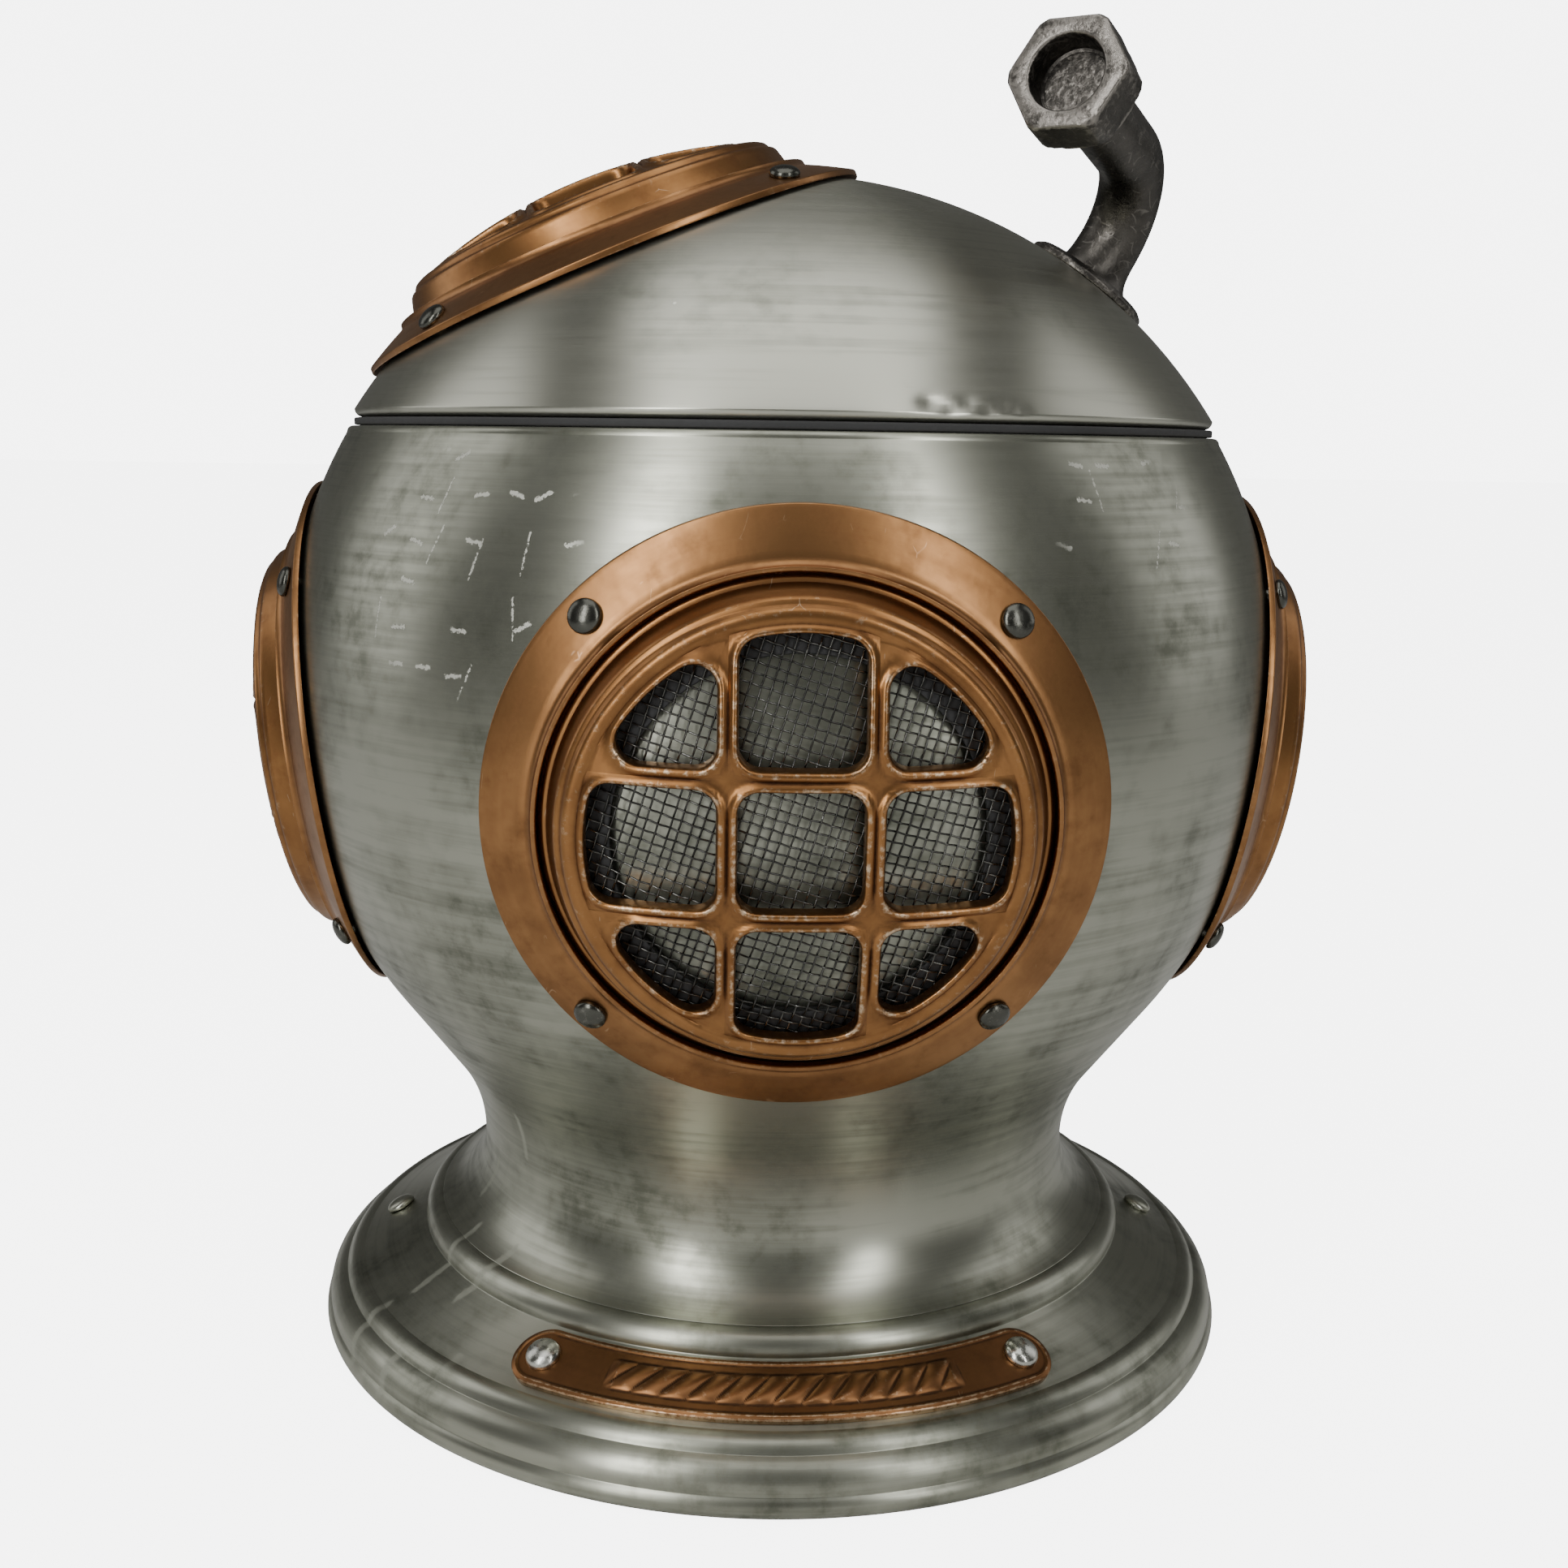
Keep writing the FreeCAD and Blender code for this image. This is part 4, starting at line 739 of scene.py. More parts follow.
def lid_outline():
    base = SEAM + SEAM_GAP
    rounding = 1.3
    side_x = on_sphere(LID_RADIUS, base + rounding - LID_CENTRE)
    inner = LID_RADIUS - WALL
    return outline([
        line(68.5, base),
        line(side_x - rounding, base),
        arc(side_x, base + rounding, rounding, 1),
        arc(0, LID_CENTRE + LID_RADIUS, LID_RADIUS, 1),
        line(0, LID_CENTRE + inner),
        arc(on_sphere(inner, base + WALL - LID_CENTRE), base + WALL, inner, -1),
        line(68.5, base + WALL),
    ])


def dent_rim(lid):
    """Small knocks along the lid's rolled rim, a little to one side of the front."""
    knocks = [(14.2 + 2.2 * k, 160.0 + 0.35 * (-1) ** k, 2.1 - 0.15 * k, 0.42 - 0.035 * k) for k in range(6)]
    for vertex in lid.data.vertices:
        x, y, z = (c / MM for c in vertex.co)
        azimuth = math.degrees(math.atan2(x, -y))
        across = math.hypot(x, y)
        if across < 70:
            continue
        push = 0.0
        for where, height, reach, depth in knocks:
            along = (azimuth - where) * math.radians(1) * across
            away = (along / reach) ** 2 + ((z - height) / (reach * 0.55)) ** 2
            push += depth * math.exp(-away * 1.6)
        shrink = 1 - push / across
        vertex.co.x *= shrink
        vertex.co.y *= shrink


LID_TURN = Matrix.Rotation(math.radians(LID_YAW), 4, "Z")


def make_shells():
    bowl = turned("bowl_shell.skin", bowl_outline(), 256)
    finish_piece(bowl, "bucket", MATERIALS["spun_metal"], "spun_metal", "bowl_shell")
    foot = turned("foot_ring.skin", foot_outline(), 256)
    finish_piece(foot, "bucket", MATERIALS["spun_metal"], "spun_metal", "foot_ring")
    lid = turned("lid_shell.skin", lid_outline(), 512, LID_TURN)
    dent_rim(lid)
    finish_piece(lid, "lid", MATERIALS["spun_lid"], "spun_metal", "lid_shell")


# ---------------------------------------------------------------- ports

def port_places():
    """Each port's name, seat sphere, body and the frame of its axis from the sphere's centre."""
    bowl, lid = (0, 0, BOWL_CENTRE), (0, 0, LID_CENTRE)
    places = [(name, BOWL_RADIUS, "bucket", aimed(bowl, direction(azimuth, -PORT_DROP)))
              for name, azimuth in (("front", 0), ("left", -90), ("right", 90))]
    top = LID_TURN @ aimed(lid, direction(0, TOP_PORT_ELEVATION))
    return places + [("top", LID_RADIUS, "lid", top)]


def flange_outline(seat):
    low = seat + FLANGE_STAND
    high = low + FLANGE_THICK
    lip = FLANGE_BORE + COLLAR_WALL
    crest = on_sphere(high, lip) + COLLAR_RISE
    foot = lip + COLLAR_ROUND
    return outline([
        line(FLANGE_BORE, on_sphere(low, FLANGE_BORE)),
        arc(FLANGE_RADIUS, on_sphere(low, FLANGE_RADIUS), low, -1),
        line(FLANGE_RADIUS, on_sphere(high, FLANGE_RADIUS)),
        arc(foot, on_sphere(high, foot), high, 1),
        arc(lip, crest, COLLAR_ROUND * 1.15, -1),
        line(FLANGE_BORE, crest),
    ], 0.28)


# A black ring under the edge of each port mesh: painted shade for the shadow the cup casts on the shell
# behind the mesh, outside its bright middle.
def shade_ring_outline(seat):
    low, high = seat + SEAT_GAP, seat + SHADE_RING_TOP
    return outline([
        line(SHADE_RING_BORE, on_sphere(low, SHADE_RING_BORE)),
        arc(SHADE_RING_RADIUS, on_sphere(low, SHADE_RING_RADIUS), low, -1),
        line(SHADE_RING_RADIUS, on_sphere(high, SHADE_RING_RADIUS)),
        arc(SHADE_RING_BORE, on_sphere(high, SHADE_RING_BORE), high, 1),
    ], 0.3)


HALF = WINDOW / 2
BAR_MIDDLE = HALF + BAR / 2
SPANS = {-1: (-WINDOW_REACH, -HALF - BAR), 0: (-HALF, HALF), 1: (HALF + BAR, WINDOW_REACH)}


def window_outline(x0, x1, y0, y1):
    """Outline of one window: its box kept inside the border circle, with rounded corners."""
    r = WINDOW_ROUND
    x0, x1, y0, y1, reach = x0 + r, x1 - r, y0 + r, y1 - r, WINDOW_REACH - r
    edge = [(x, y) for x in np.linspace(x0, x1, 60) for y in (y0, y1)]
    edge += [(x, y) for y in np.linspace(y0, y1, 60) for x in (x0, x1)]
    around = np.radians(np.arange(0, 360, 1.0))
    edge += [(reach * math.cos(a), reach * math.sin(a)) for a in around]
    inside = np.array([p for p in edge if x0 - 1e-6 <= p[0] <= x1 + 1e-6
                       and y0 - 1e-6 <= p[1] <= y1 + 1e-6 and math.hypot(*p) <= reach + 1e-6])
    outward = np.stack([np.cos(around), np.sin(around)], 1)
    return inside[np.argmax(outward @ inside.T, axis=1)] + r * outward


def hit_outline(centre, targets, edge):
    """Where rays from the centre towards the targets cross a convex outline."""
    step = np.roll(edge, -1, axis=0) - edge
    long = np.hypot(*step.T) > 1e-6
    step, start = step[long], edge[long]
    normal = np.stack([step[:, 1], -step[:, 0]], 1)
    ray = targets - centre
    down = ray @ normal.T
    up = ((start - centre) * normal).sum(1)
    share = np.where(down > 1e-9, up / np.where(down > 1e-9, down, 1), np.inf).min(axis=1)
    return centre + ray * share[:, None]


def gap_to(points, edge):
    """Distance of each point from a closed outline."""
    after = np.roll(edge, -1, axis=0)
    step = after - edge
    square = np.maximum((step ** 2).sum(1), 1e-12)
    share = np.clip(((points[:, None] - edge) * step).sum(2) / square, 0, 1)
    near = edge + share[..., None] * step
    return np.sqrt(((points[:, None] - near) ** 2).sum(2)).min(axis=1)


def cell_boundary(column, row, count):
    """Points round one of the nine cells that meet along the bars' middles, anticlockwise."""
    middle, outer = BAR_MIDDLE, FACE_RING
    far = math.sqrt(outer ** 2 - middle ** 2)
    xs = {-1: (-far, -middle), 0: (-middle, middle), 1: (middle, far)}[column]
    ys = {-1: (-far, -middle), 0: (-middle, middle), 1: (middle, far)}[row]
    if column and row:
        inner = np.array([column * middle, row * middle])
        a = np.array([column * far, row * middle])
        b = np.array([column * middle, row * far])
        corners = [inner, a, b] if column * row > 0 else [inner, b, a]
    else:
        corners = [np.array(p) for p in ((xs[0], ys[0]), (xs[1], ys[0]), (xs[1], ys[1]), (xs[0], ys[1]))]
        if column:
            corners = [np.array([np.sign(c[0]) * (far if abs(c[0]) > middle + 1 else middle), c[1]])
                       for c in corners]
    points = []
    for index, start in enumerate(corners):
        end = corners[(index + 1) % len(corners)]
        curved = np.hypot(*start) > outer - 0.01 and np.hypot(*end) > outer - 0.01
        for k in range(count):
            point = start + (end - start) * k / count
            if curved:
                a, b = math.atan2(start[1], start[0]), math.atan2(end[1], end[0])
                turn = (b - a + math.pi) % (2 * math.pi) - math.pi
                point = outer * np.array([math.cos(a + turn * k / count), math.sin(a + turn * k / count)])
            points.append(point)
    return np.array(points)


FACE_RING = 29.9
LIP_HEIGHTS = ((0.0, -0.85), (0.06, -0.50), (0.18, -0.22), (0.36, -0.06), (0.60, 0.0), (0.85, -0.08),
               (1.10, -0.32), (1.40, -0.55), (2.2, -0.62), (3.5, -0.55), (6.0, -0.55))


def lip_height(gap):
    """Height of the cast face at a distance from a window: a raised lip, then a shallow valley."""
    where, height = zip(*LIP_HEIGHTS)
    return np.interp(gap, where, height)


def cup_wall(seat):
    """Outline of the cup outside its face: border bead, tapered wall, step bead and hidden foot."""
    face = seat + FACE_STAND
    edge = on_sphere(face, FACE_EDGE)
    foot = seat + SEAT_GAP + 0.5
    base = on_sphere(foot, CUP_BASE)
    return [
        (30.3, on_sphere(face, 30.3) - 0.22), (30.7, edge + 0.02), (31.2, edge - 0.05),
        (31.65, edge - 0.30), (31.95, edge - 0.72), (32.05, edge - 1.1), (32.35, edge - 1.35),
        (32.75, edge - 1.45), (33.0, edge - 1.75), (33.2, edge - 2.3), (33.9, base + 1.9),
        (34.25, base + 1.25), (34.3, base + 1.0), (34.7, base + 0.92), (35.05, base + 0.65),
        (35.15, base + 0.2), (35.3, base), (CUP_FOOT, on_sphere(foot, CUP_FOOT)),
        (CUP_FOOT, on_sphere(seat + SEAT_GAP, CUP_FOOT)),
        (CUP_BASE - 1.0, on_sphere(seat + SEAT_GAP, CUP_BASE - 1.0)),
        (FACE_SEAT, on_sphere(face - FACE_THICK, FACE_SEAT)),
        (FACE_RING, on_sphere(face - FACE_THICK, FACE_RING)),
    ]


def grille_mesh(seat, count=26):
    """The cast grille: nine lipped windows in a domed face, and the cup round it."""
    face = seat + FACE_STAND
    shares = np.array([0, 0.045, 0.13, 0.26, 0.43, 0.61, 0.80, 1.0])
    points, faces, rim = [], [], {}
    for column in (-1, 0, 1):
        for row in (-1, 0, 1):
            edge = window_outline(*SPANS[column], *SPANS[row])
            centre = edge.mean(axis=0)
            border = cell_boundary(column, row, count)
            inner = hit_outline(centre, border, edge)
            loops = []
            for share in shares:
                flat = inner + (border - inner) * share
                drop = lip_height(gap_to(flat, edge))
                height = np.sqrt(face ** 2 - (flat ** 2).sum(1)) + drop
                loops.append(np.column_stack([flat, height]))
            back = face - FACE_THICK
            for depth in (0.35, 0.7, 1.0):
                wall = np.sqrt(face ** 2 - (inner ** 2).sum(1)) * (1 - depth)
                wall += np.sqrt(back ** 2 - (inner ** 2).sum(1)) * depth
                spread = 1 - 0.006 * depth
                flat = centre + (inner - centre) * spread
                loops.insert(0, np.column_stack([flat, wall - 0.3 * (1 - depth)]))
            under = np.sqrt(back ** 2 - (border ** 2).sum(1))
            loops.insert(0, np.column_stack([border, under]))
            stitch(points, faces, loops, closed_loop=True)
            for point in border:
                if np.hypot(*point) > FACE_RING - 0.01:
                    rim[round(math.degrees(math.atan2(point[1], point[0])), 3)] = point
    angles = np.radians(sorted(rim))
    wall = [(FACE_RING, on_sphere(face, FACE_RING) + float(lip_height(np.array([1.2]))[0]))] + cup_wall(seat)
    ring_top = loop_heights(angles, face)
    loops = [ring_top] + [np.column_stack([x * np.cos(angles), x * np.sin(angles), np.full(len(angles), z)])
                          for x, z in wall[1:]]
    stitch(points, faces, loops, closed_loop=True)
    return points, faces


def in_cell(place, index):
    """Whether a coordinate is in the cell of this index; the outer cells are open outwards."""
    return abs(place - index * 2 * BAR_MIDDLE) <= BAR_MIDDLE + 1e-6 or index * place > BAR_MIDDLE


def loop_heights(angles, face):
    """The face's outermost loop, at the height its own lips give it."""
    flat = FACE_RING * np.column_stack([np.cos(angles), np.sin(angles)])
    height = np.empty(len(flat))
    for index, point in enumerate(flat):
        gaps = []
        for column in (-1, 0, 1):
            for row in (-1, 0, 1):
                if in_cell(point[0], column) and in_cell(point[1], row):
                    edge = window_outline(*SPANS[column], *SPANS[row])
                    gaps.append(float(gap_to(point[None], edge)[0]))
        height[index] = on_sphere(face, FACE_RING) + float(lip_height(np.array([min(gaps)]))[0])
    return np.column_stack([flat, height])


def stitch(points, faces, loops, closed_loop):
    """Add loops of equal length to a mesh and join each to the next with quads."""
    first = len(points)
    size = len(loops[0])
    for loop in loops:
        points.extend(tuple(p) for p in loop)
    for k in range(len(loops) - 1):
        for j in range(size if closed_loop else size - 1):
            n = (j + 1) % size
            a, b = first + k * size, first + (k + 1) * size
            faces.append((a + j, a + n, b + n, b + j))


def tube(points, faces, path, radius, sides, normals):
    """A round tube along a path; normals give one side direction at each point."""
    ahead = np.gradient(path, axis=0)
    ahead /= np.linalg.norm(ahead, axis=1)[:, None]
    side = np.cross(ahead, normals)
    side /= np.linalg.norm(side, axis=1)[:, None]
    up = np.cross(side, ahead)
    radius = np.broadcast_to(radius, len(path))[:, None]
    loops = []
    for index in range(sides):
        angle = 2 * math.pi * index / sides
        loops.append(path + radius * (math.cos(angle) * side + math.sin(angle) * up))
    rings = np.stack(loops, axis=1)
    first = len(points)
    points.extend(tuple(p) for ring in rings for p in ring)
    for k in range(len(path) - 1):
        for j in range(sides):
            n = (j + 1) % sides
            a, b = first + k * sides, first + (k + 1) * sides
            faces.append((a + j, a + n, b + n, b + j))
    faces.append(tuple(first + j for j in reversed(range(sides))))
    last = first + (len(path) - 1) * sides
    faces.append(tuple(last + j for j in range(sides)))


def woven_mesh(seat):
    """A dished disc of plain-woven wire, each wire going over and under its neighbours."""
    sphere = seat + MESH_STAND
    points, faces = [], []
    half = int(MESH_RADIUS / MESH_PITCH)
    turn = math.radians(MESH_TURN)
    spin = np.array([[math.cos(turn), -math.sin(turn)], [math.sin(turn), math.cos(turn)]])
    for way in (0, 1):
        for k in range(-half, half + 1):
            off = k * MESH_PITCH + noise.normal(0, 0.05)
            reach = math.sqrt(max(MESH_RADIUS ** 2 - off ** 2, 0))
            if reach < 2:
                continue
            along = np.arange(-reach, reach, MESH_PITCH / 4)
            sway = 0.10 * np.sin(along / 9 + noise.uniform(0, 6))
            lift = WIRE * 1.05 * np.cos(math.pi * along / MESH_PITCH) * (1 if (k + way) % 2 else -1)
            flat = np.column_stack([along, np.full(len(along), off) + sway])
            if way:
                flat = flat[:, ::-1]
            flat = flat @ spin.T
            height = np.sqrt(sphere ** 2 - (flat ** 2).sum(1))
            path = np.column_stack([flat, height + lift])
            normals = path / np.linalg.norm(path, axis=1)[:, None]
            tube(points, faces, path, WIRE, 5, normals)
    return points, faces


def rivet_outline(head, rise, stand, shank=1.2, tail=2.0, tail_rise=0.8):
    """A rivet along Z: low brim, domed head, shank through the wall and peened tail."""
    base = stand + SEAT_GAP
    dome = [(head * math.cos(a), base + 0.25 + (rise - 0.25) * math.sin(a) ** 0.9)
            for a in np.linspace(0.0, math.pi / 2, 10)]
    under = -WALL - SEAT_GAP
    peen = [(tail * math.cos(a), under - tail_rise * math.sin(a)) for a in np.linspace(math.pi / 2, 0, 6)]
    return [(0.0, peen[0][1])] + peen[1:] + [(shank, under), (shank, base), (head * 0.96, base)] \
        + dome[:-1] + [(0.0, dome[-1][1])]


def rivet_set(name, profile, places):
    """Several rivets as one piece, each a little turned and tipped as a hand sets them."""
    points, faces = [], []
    for place in places:
        out, loops = turned_mesh(profile, 40)
        spin = Matrix.Rotation(random.uniform(0, 6.28), 4, "Z")
        whole = place @ (spin @ Matrix.Rotation(random.uniform(0, 0.05), 4, "X"))
        first = len(points)
        points += [tuple(whole @ Vector(p)) for p in out]
        faces += [[first + i for i in loop] for loop in loops]
    return make_object(name, points, faces)


def port_rivet_places(place, radius):
    tilt = Matrix.Rotation(math.radians(PORT_RIVET_ANGLE), 4, "Y")
    return [place @ Matrix.Rotation(math.radians(clock), 4, "Z") @ tilt @ Matrix.Translation((0, 0, radius))
            for clock in (45, 135, 225, 315)]


def make_ports():
    for name, seat, body, place in port_places():
        flange = turned(name + "_port_flange.bronze", flange_outline(seat), 220, place)
        finish_piece(flange, body, MATERIALS["flange"], "bronze", name + "_port_flange")
        grille = make_object(name + "_port_grille.bronze", *grille_mesh(seat), crease=50, place=place)
        finish_piece(grille, body, MATERIALS["grille"], "bronze", name + "_port_grille")
        mesh = make_object(name + "_port_mesh.wires", *woven_mesh(seat), crease=80, place=place)
        finish_piece(mesh, body, MATERIALS["wire_mesh"], "wire_mesh", name + "_port_mesh")
        # Black ring of painted shade on the shell under the mesh edge, where the cup's shadow falls.
        gasket = turned(name + "_port_gasket.ring", shade_ring_outline(seat), 120, place)
        finish_piece(gasket, body, MATERIALS["seal_rubber"], "seal_rubber", name + "_port_gasket")
        profile = rivet_outline(PORT_RIVET_HEAD, PORT_RIVET_RISE, FLANGE_STAND + FLANGE_THICK)
        rivets = rivet_set(name + "_port_rivets.heads", profile, port_rivet_places(place, seat))
        finish_piece(rivets, body, MATERIALS["rivet_steel"], "rivet_steel", name + "_port_rivets")


# ---------------------------------------------------------------- name plate and studs

def plateau_place(azimuth, along=0.0):
    """On the foot's sloping plateau, local X up the slope and local Z square to it."""
    outer = Vector((SHOULDER_X, 0, SHOULDER_TOP))
    inner = Vector((PLATEAU_X, 0, PLATEAU_TOP))
    run = (outer - inner).normalized()
    square = Vector((-run.z, 0, run.x))
    turn = Matrix((run, square.cross(run), square)).transposed().to_4x4()
    middle = Matrix.Translation((outer + inner) / 2 + run * along)
    return Matrix.Rotation(math.radians(azimuth - 90), 4, "Z") @ middle @ turn


ROPE_HALF_WIDTH, ROPE_HALF_LENGTH, ROPE_LAY, ROPE_RISE = 2.5, 27.5, 4.2, 0.62


def rope_height(along, across):
    """A twisted rope laid along the plate; its ends fade over a short way."""
    body = np.sqrt(np.clip(1 - (across / ROPE_HALF_WIDTH) ** 2, 0, 1))
    strand = np.abs(np.sin(math.pi * (along / ROPE_LAY + across / (2 * ROPE_HALF_WIDTH))))
    end = np.clip((ROPE_HALF_LENGTH - np.abs(along)) / 1.5, 0, 1)
    return ROPE_RISE * body * (0.25 + 0.75 * strand ** 0.6) * end


def plate_mesh():
    """The curved plate: rounded ends, an eased edge, a raised border and the rope."""
    outer, inner = Vector((SHOULDER_X, 0, SHOULDER_TOP)), Vector((PLATEAU_X, 0, PLATEAU_TOP))
    middle_x = (outer.x + inner.x) / 2
    half = PLATE_WIDTH / 2
    straight = math.radians(PLATE_AZIMUTH) * middle_x
    ends = straight + half * np.sin(np.linspace(0, math.pi / 2, 26)[1:])
    stations = np.concatenate([-ends[::-1], np.linspace(-straight, straight, 480), ends])
    shares = np.sin(np.linspace(-math.pi / 2, math.pi / 2, 61))
    top, bottom = [], []
    for along in stations:
        beyond = max(abs(along) - straight, 0)
        reach = max(math.sqrt(max(half ** 2 - beyond ** 2, 0)), 0.01)
        across = shares * reach
        from_edge = half - np.hypot(across, beyond) if beyond else half - np.abs(across)
        ease = 0.35 * (1 - np.sqrt(np.clip(1 - (1 - np.clip(from_edge / 0.35, 0, 1)) ** 2, 0, 1)))
        border = 0.16 * np.exp(-((from_edge - 0.75) / 0.28) ** 2)
        height = PLATE_THICK - ease + border + rope_height(along, across)
        place = plateau_place(math.degrees(along / middle_x))
        top.append([tuple(place @ Vector((x, 0, z + SEAT_GAP))) for x, z in zip(across, height)])
        bottom.append([tuple(place @ Vector((x, 0, SEAT_GAP))) for x in across[::-1]])
    loops = [np.array(a + b) for a, b in zip(top, bottom)]
    points, faces = [], []
    stitch(points, faces, loops, closed_loop=True)
    return points, faces


def make_foot_details():
    plate = make_object("name_plate.rope", *plate_mesh(), crease=60)
    finish_piece(plate, "bucket", MATERIALS["plate"], "bronze", "name_plate")
    profile = rivet_outline(PLATE_RIVET_HEAD, PLATE_RIVET_RISE, PLATE_THICK)
    places = [plateau_place(a) for a in (-PLATE_AZIMUTH, PLATE_AZIMUTH)]
    rivets = rivet_set("name_plate_rivets.heads", profile, places)
    finish_piece(rivets, "bucket", MATERIALS["plate_rivet"], "plate_rivet", "name_plate_rivets")
    studs = rivet_set("foot_studs.heads", rivet_outline(STUD_HEAD, STUD_RISE, 0),
                      [plateau_place(a) for a in STUD_AZIMUTHS])
    finish_piece(studs, "bucket", MATERIALS["spun_metal"], "spun_metal", "foot_studs")


# ---------------------------------------------------------------- elbow pipe

def pipe_frame():
    """The pipe's foot placement and the directions of its rising and reaching legs."""
    out = direction(PIPE_AZIMUTH, PIPE_ELEVATION)
    foot = LID_TURN @ aimed(Vector((0, 0, LID_CENTRE)) + out * LID_RADIUS, out)
    rise = LID_TURN @ direction(PIPE_AZIMUTH, PIPE_LEAN)
    reach = LID_TURN @ direction(PIPE_TURN_AZIMUTH, PIPE_TURN_ELEVATION)
    return foot, rise, reach


def elbow_path():
    foot, rise, reach = pipe_frame()
    start = foot.translation
    turn = rise.angle(reach)
    tangent = PIPE_BEND * math.tan(turn / 2)
    knee = start + rise * PIPE_RISE
    first, second = knee - rise * tangent, knee + reach * tangent
    end = knee + reach * PIPE_REACH
    centre = first + (reach - rise * rise.dot(reach)).normalized() * PIPE_BEND
    axis = rise.cross(reach).normalized()
    low = [start + rise * d for d in np.linspace(0.4, (first - start).length, 14)]
    bend = [centre + Matrix.Rotation(turn * t, 3, axis) @ (first - centre)
            for t in np.linspace(0, 1, 25)[1:-1]]
    high = [second + (end - second) * t for t in np.linspace(0, 1, 12)]
    path = np.array([tuple(p) for p in low + bend + high])
    return path, np.array([tuple(axis)] * len(path)), end


def pipe_foot_outline():
    """The pipe's round foot, from the middle of the lid's sphere: it sits on the dome."""
    low, high = LID_RADIUS + SEAT_GAP, LID_RADIUS + PIPE_FOOT_RISE
    return outline([
        line(2.6, on_sphere(low, 2.6)),
        arc(PIPE_FOOT, on_sphere(low, PIPE_FOOT), low, -1),
        line(PIPE_FOOT, on_sphere(high, PIPE_FOOT) - 0.6),
        line(PIPE_FOOT - 1.0, on_sphere(high, PIPE_FOOT - 1.0)),
        line(2.6, on_sphere(high, 2.6)),
    ], 0.5)


def make_pipe():
    foot, _, reach = pipe_frame()
    path, normals, end = elbow_path()
    travelled = np.concatenate([[0], np.cumsum(np.linalg.norm(np.diff(path, axis=0), axis=1))])
    flare = 2.2 * np.exp(-travelled / 1.6)
    points, faces = [], []
    tube(points, faces, path, PIPE_RADIUS + flare, 56, normals)
    centre = foot.copy()
    centre.translation = Vector((0, 0, LID_CENTRE))
    out, loops = turned_mesh(pipe_foot_outline(), 72)
    first = len(points)
    points += [tuple(centre @ Vector(p)) for p in out]
    faces += [[first + i for i in loop] for loop in loops]
    pipe = make_object("air_pipe.casting", points, faces)
    finish_piece(pipe, "lid", MATERIALS["gunmetal"], "gunmetal", "air_pipe")
    seated = NUT_LENGTH - NUT_BORE_DEPTH
    back = end - reach * seated
    nut = make_object("pipe_nut.hexagon", *nut_mesh(), place=aimed(back, reach))
    finish_piece(nut, "lid", MATERIALS["gunmetal"], "gunmetal", "pipe_nut")


def nut_mesh(turns=240):
    """A hexagon with chamfered ends and an open socket."""
    angles = np.radians(np.arange(turns) * 360 / turns)
    off = np.abs((np.degrees(angles) % 60) - 30)
    flats = NUT_FLATS / 2 / np.cos(np.radians(off))
    corner = NUT_FLATS / math.sqrt(3)
    eased = np.minimum(flats, corner - 0.35)

    def ring(limit, z, shrink=0.0):
        radius = np.minimum(eased - shrink, limit)
        return np.column_stack([radius * np.cos(angles), radius * np.sin(angles), np.full(turns, z)])

    def circle(radius, z):
        return np.column_stack([radius * np.cos(angles), radius * np.sin(angles), np.full(turns, z)])

    top = NUT_LENGTH
    floor = top - NUT_BORE_DEPTH
    loops = [circle(PIPE_RADIUS + 0.05, 0.0), circle(8.2, 0.0), ring(8.6, 0.12), ring(9.1, 0.5, 0.05),
             ring(99, 1.0), ring(99, top - 0.9), ring(9.3, top - 0.45, 0.06), ring(8.9, top - 0.12, 0.22),
             ring(8.5, top, 0.45), circle(NUT_BORE + 0.55, top), circle(NUT_BORE + 0.25, top - 0.08),
             circle(NUT_BORE, top - 0.4), circle(NUT_BORE, floor + 0.2), circle(PIPE_RADIUS + 0.05, floor),
             circle(PIPE_RADIUS + 0.05, 0.0)]
    points, faces = [], []
    stitch(points, faces, loops, closed_loop=True)
    return points, faces


# ---------------------------------------------------------------- inner pieces

LINER_RADIUS, LINER_FLOOR, LINER_WALL = 63.2, 56.8, 0.8
FLANGE_EDGE, FLANGE_INSIDE, FLANGE_THICKNESS = 69.5, 64.0, 0.6


def liner_side(offset):
    """Corners of the ice bucket's side on a skin set out by offset from its inside."""
    return {"collar": (LINER_RADIUS + offset, SEAM - 10.5), "foot": (50.0 + offset, LINER_FLOOR + 9.0),
            "floor": (41.0, LINER_FLOOR - offset), "round": 9.0 + offset}


def liner_outline():
    inside, outside = liner_side(0), liner_side(LINER_WALL)
    base = SEAM + SEAT_GAP
    top = base + FLANGE_THICKNESS
    return outline([
        line(0, inside["floor"][1]), line(*inside["floor"]),
        arc(*inside["foot"], inside["round"], 1), line(*inside["collar"]),
        line(LINER_RADIUS, top), line(FLANGE_EDGE, top), line(FLANGE_EDGE, base),
        line(FLANGE_INSIDE, base), line(*outside["collar"]),
        line(*outside["foot"]), arc(*outside["floor"], outside["round"], -1),
        line(0, outside["floor"][1]),
    ], 0.2)


def plug_outline():
    """The moulded cup that fills the mouth; its open side faces the dome."""
    base = SEAM + SEAM_GAP + WALL + SEAT_GAP
    bottom, top = SEAM - PLUG_DEPTH, base + PLUG_WALL
    return outline([
        line(0, bottom), line(PLUG_RADIUS, bottom), line(PLUG_RADIUS, top),
        line(PLUG_RADIUS - PLUG_WALL, top), line(PLUG_RADIUS - PLUG_WALL, bottom + PLUG_WALL),
        line(0, bottom + PLUG_WALL),
    ], 0.35)


def ring_outline(inner, outer, low, high, soft):
    return outline([line(inner, low), line(outer, low), line(outer, high), line(inner, high)], soft)


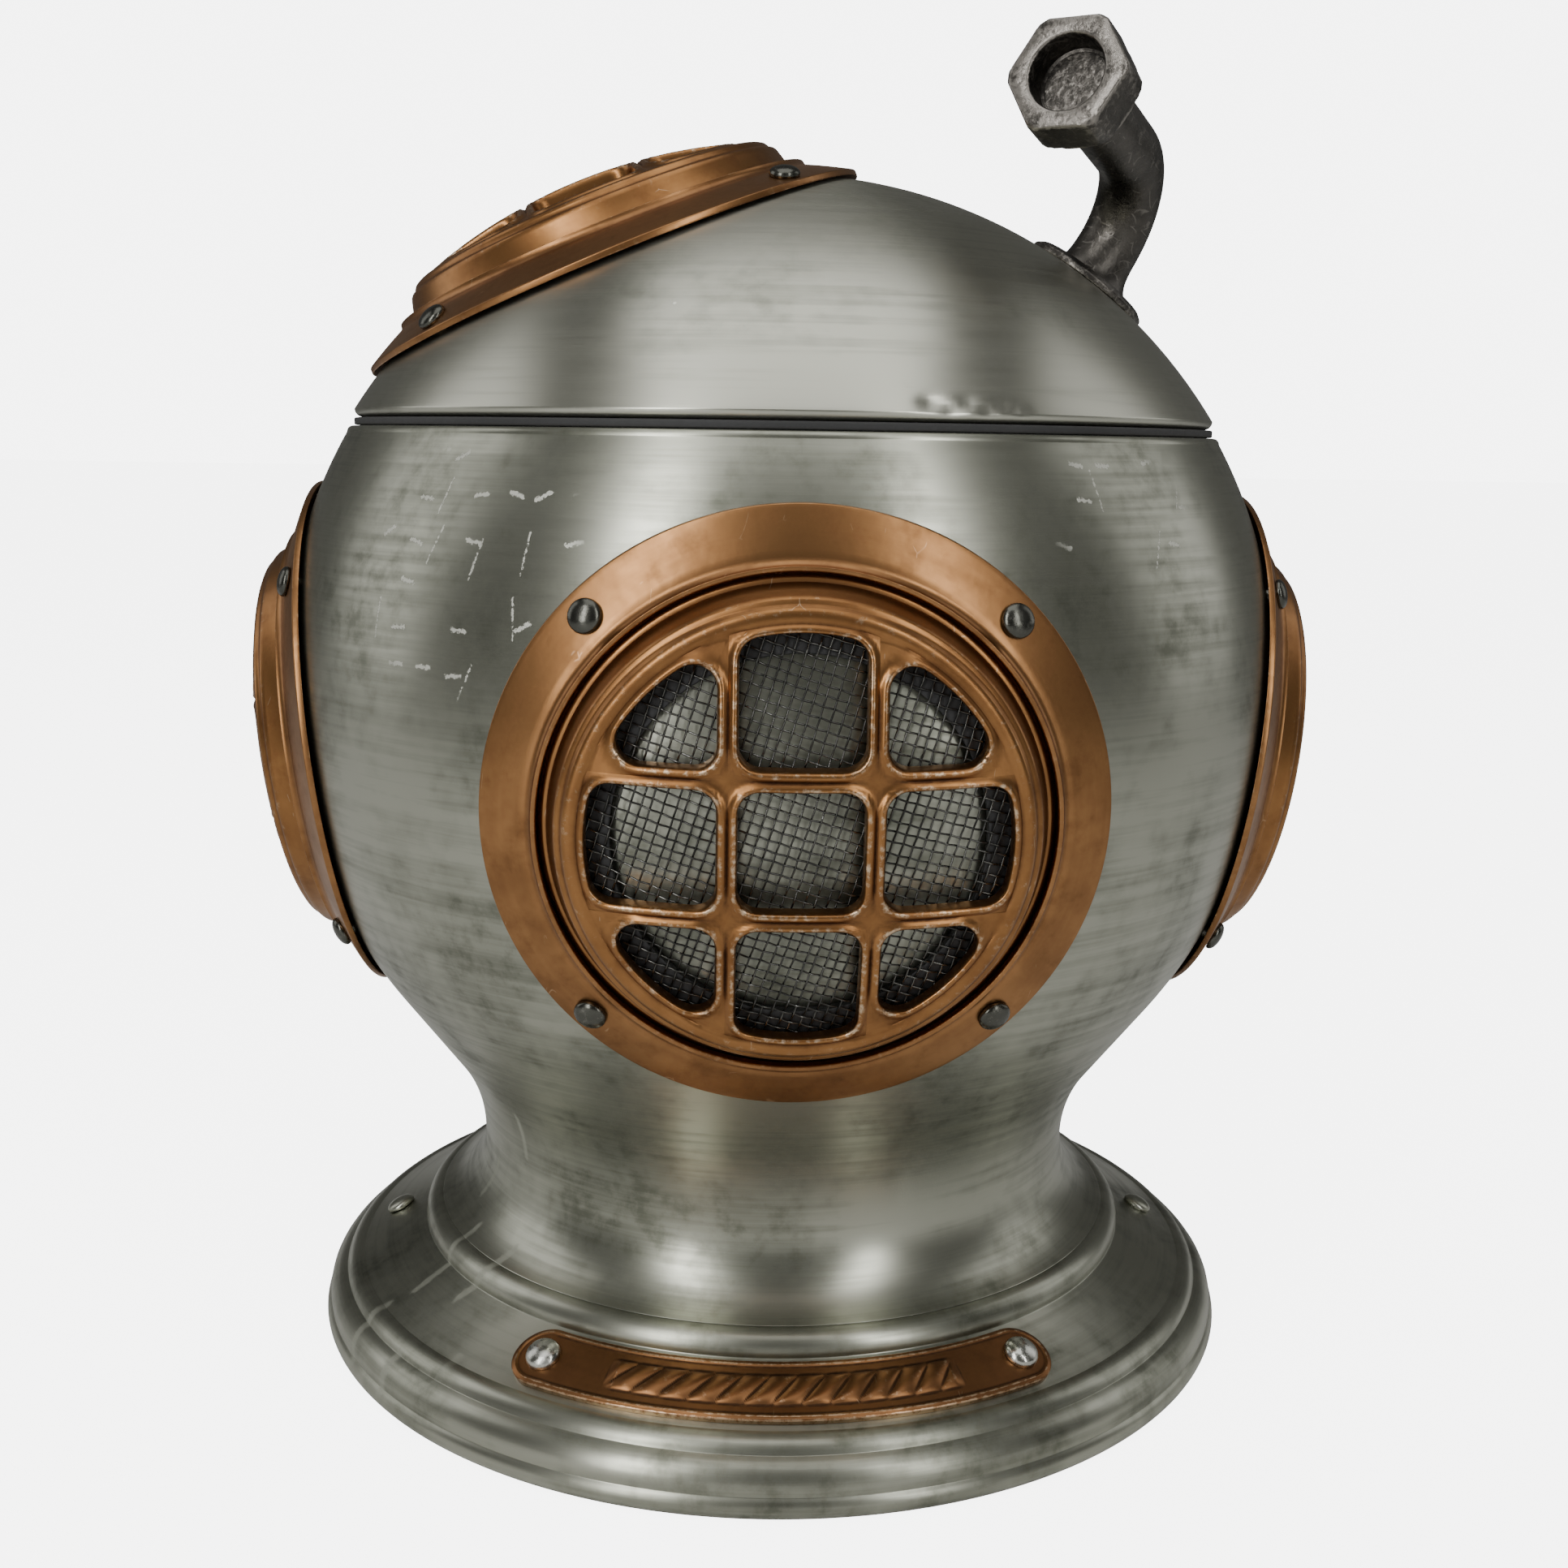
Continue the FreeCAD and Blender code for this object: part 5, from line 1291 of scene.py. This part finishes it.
def make_inner_pieces():
    """The turned pieces that show only with the lid off or the bucket tipped over."""
    rim_z = SEAM + SEAM_GAP + WALL + SEAT_GAP
    cover_z = FLOOR_GAP + WALL + SEAT_GAP
    cover_x = FOOT_RADIUS - RIM_TUCK * 2
    rim = ring_outline(PLUG_RADIUS + SEAT_GAP, SEAL_INNER, rim_z, rim_z + PLUG_WALL, 0.2)
    seal = ring_outline(SEAL_INNER, SEAL_INNER + 2.5, SEAM + 0.1, SEAM + SEAM_GAP - 0.1, 0.3)
    cover = ring_outline(0, cover_x, cover_z, cover_z + 1.4, 0.2)
    felt = ring_outline(0, FOOT_LIP - 0.4, 0, 1.5, 0.4)
    for node, form, shape, turns, body, slot in (
            ("ice_liner", "bucket", liner_outline(), 160, "bucket", "liner_plastic"),
            ("lid_plug", "cup", plug_outline(), 160, "lid", "liner_plastic"),
            ("lid_plug_rim", "ring", rim, 160, "lid", "liner_plastic"),
            ("lid_seal", "ring", seal, 200, "seal", "seal_rubber"),
            ("bottom_cover", "disc", cover, 120, "bucket", "spun_metal"),
            ("felt_pad", "disc", felt, 120, "bucket", "felt")):
        finish_piece(turned(f"{node}.{form}", shape, turns), body, MATERIALS[slot], slot, node)


def paint_kept_nodes():
    """Hidden fixings and foam keep their own shape and get a finish."""
    kept = {"body_insulation": "foam", "lid_insulation": "foam", "pipe_washer": "zinc_steel",
            "pipe_screw": "zinc_steel", "foot_rivets": "zinc_steel"}
    for node, finish in kept.items():
        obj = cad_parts[node]
        obj.data.materials.clear()
        obj.data.materials.append(MATERIALS[finish])


# ---------------------------------------------------------------- floor, light and camera

def make_stage():
    floor = make_object("floor", [(-9000, -9000, 0), (9000, -9000, 0), (9000, 9000, 0), (-9000, 9000, 0)],
                        [(0, 1, 2, 3)])
    f = Finish("pale_floor", roughness=0.75)
    t = f.tree
    cloud = f.group("patches", Size=300.0, Cover=0.5, Softness=0.4, Seed=4.0)[0]
    f.feed("Base Color", blend_colours(t, cloud, (0.80, 0.80, 0.79), (0.78, 0.78, 0.77)))
    seen = add(t, "ShaderNodeLightPath").outputs["Is Camera Ray"]
    f.feed("Emission Color", blend_colours(t, seen, (0, 0, 0), (1, 1, 1)))
    f.surface.inputs["Emission Strength"].default_value = 5.5
    floor.data.materials.append(f.material)


def soft_light(name, azimuth, elevation, distance, width, height, power):
    light = bpy.data.lights.new(name, "AREA")
    light.shape = "RECTANGLE"
    light.size, light.size_y = width * MM, height * MM
    light.energy = power
    lamp = bpy.data.objects.new(name, light)
    bpy.context.scene.collection.objects.link(lamp)
    target = Vector((0, 0, 105))
    away = direction(azimuth, elevation)
    lamp.matrix_world = metres(aimed(target + away * distance, away))


def make_lights():
    soft_light("left_strip", -33, 24, 900, 150, 800, 4.2)
    soft_light("right_strip", 33, 24, 900, 130, 800, 2.3)
    soft_light("overhead", 0, 80, 800, 700, 700, 2.6)
    soft_light("left_fill", -100, 25, 1000, 500, 900, 1.8)
    soft_light("right_fill", 100, 25, 1000, 500, 900, 1.3)
    world = bpy.data.worlds.new("studio")
    bpy.context.scene.world = world
    world.use_nodes = True
    tree = world.node_tree
    back = tree.nodes["Background"]
    seen = add(tree, "ShaderNodeLightPath").outputs["Is Camera Ray"]
    tree.links.new(blend_colours(tree, seen, (0.10, 0.10, 0.095), (6.0, 6.0, 6.0)), back.inputs["Color"])
    back.inputs["Strength"].default_value = 1.0


def make_camera():
    """The lens stands in front, a little left of the axis and above the middle, looking down."""
    lens = bpy.data.cameras.new("camera")
    lens.lens, lens.sensor_width = 41.74, 36.0
    lens.clip_start, lens.clip_end = 0.01, 60.0
    camera = bpy.data.objects.new("camera", lens)
    bpy.context.scene.collection.objects.link(camera)
    yaw, pitch, roll = math.radians(2.24), math.radians(10.71), math.radians(-0.897)
    ahead = Vector((math.sin(yaw) * math.cos(pitch), math.cos(yaw) * math.cos(pitch), -math.sin(pitch)))
    right = Vector((math.cos(yaw), -math.sin(yaw), 0))
    down = ahead.cross(right)
    across = right * math.cos(roll) + down * math.sin(roll)
    below = down * math.cos(roll) - right * math.sin(roll)
    turn = Matrix((across, -below, -ahead)).transposed().to_4x4()
    camera.matrix_world = Matrix.Translation(Vector((-11.5, -320.7, 155.2)) * MM) @ turn
    bpy.context.scene.camera = camera


make_shells()
make_ports()
make_foot_details()
make_pipe()
make_inner_pieces()
paint_kept_nodes()
make_stage()
make_lights()
make_camera()


def corners(box):
    return [[float(c) for c in corner] for corner in box]
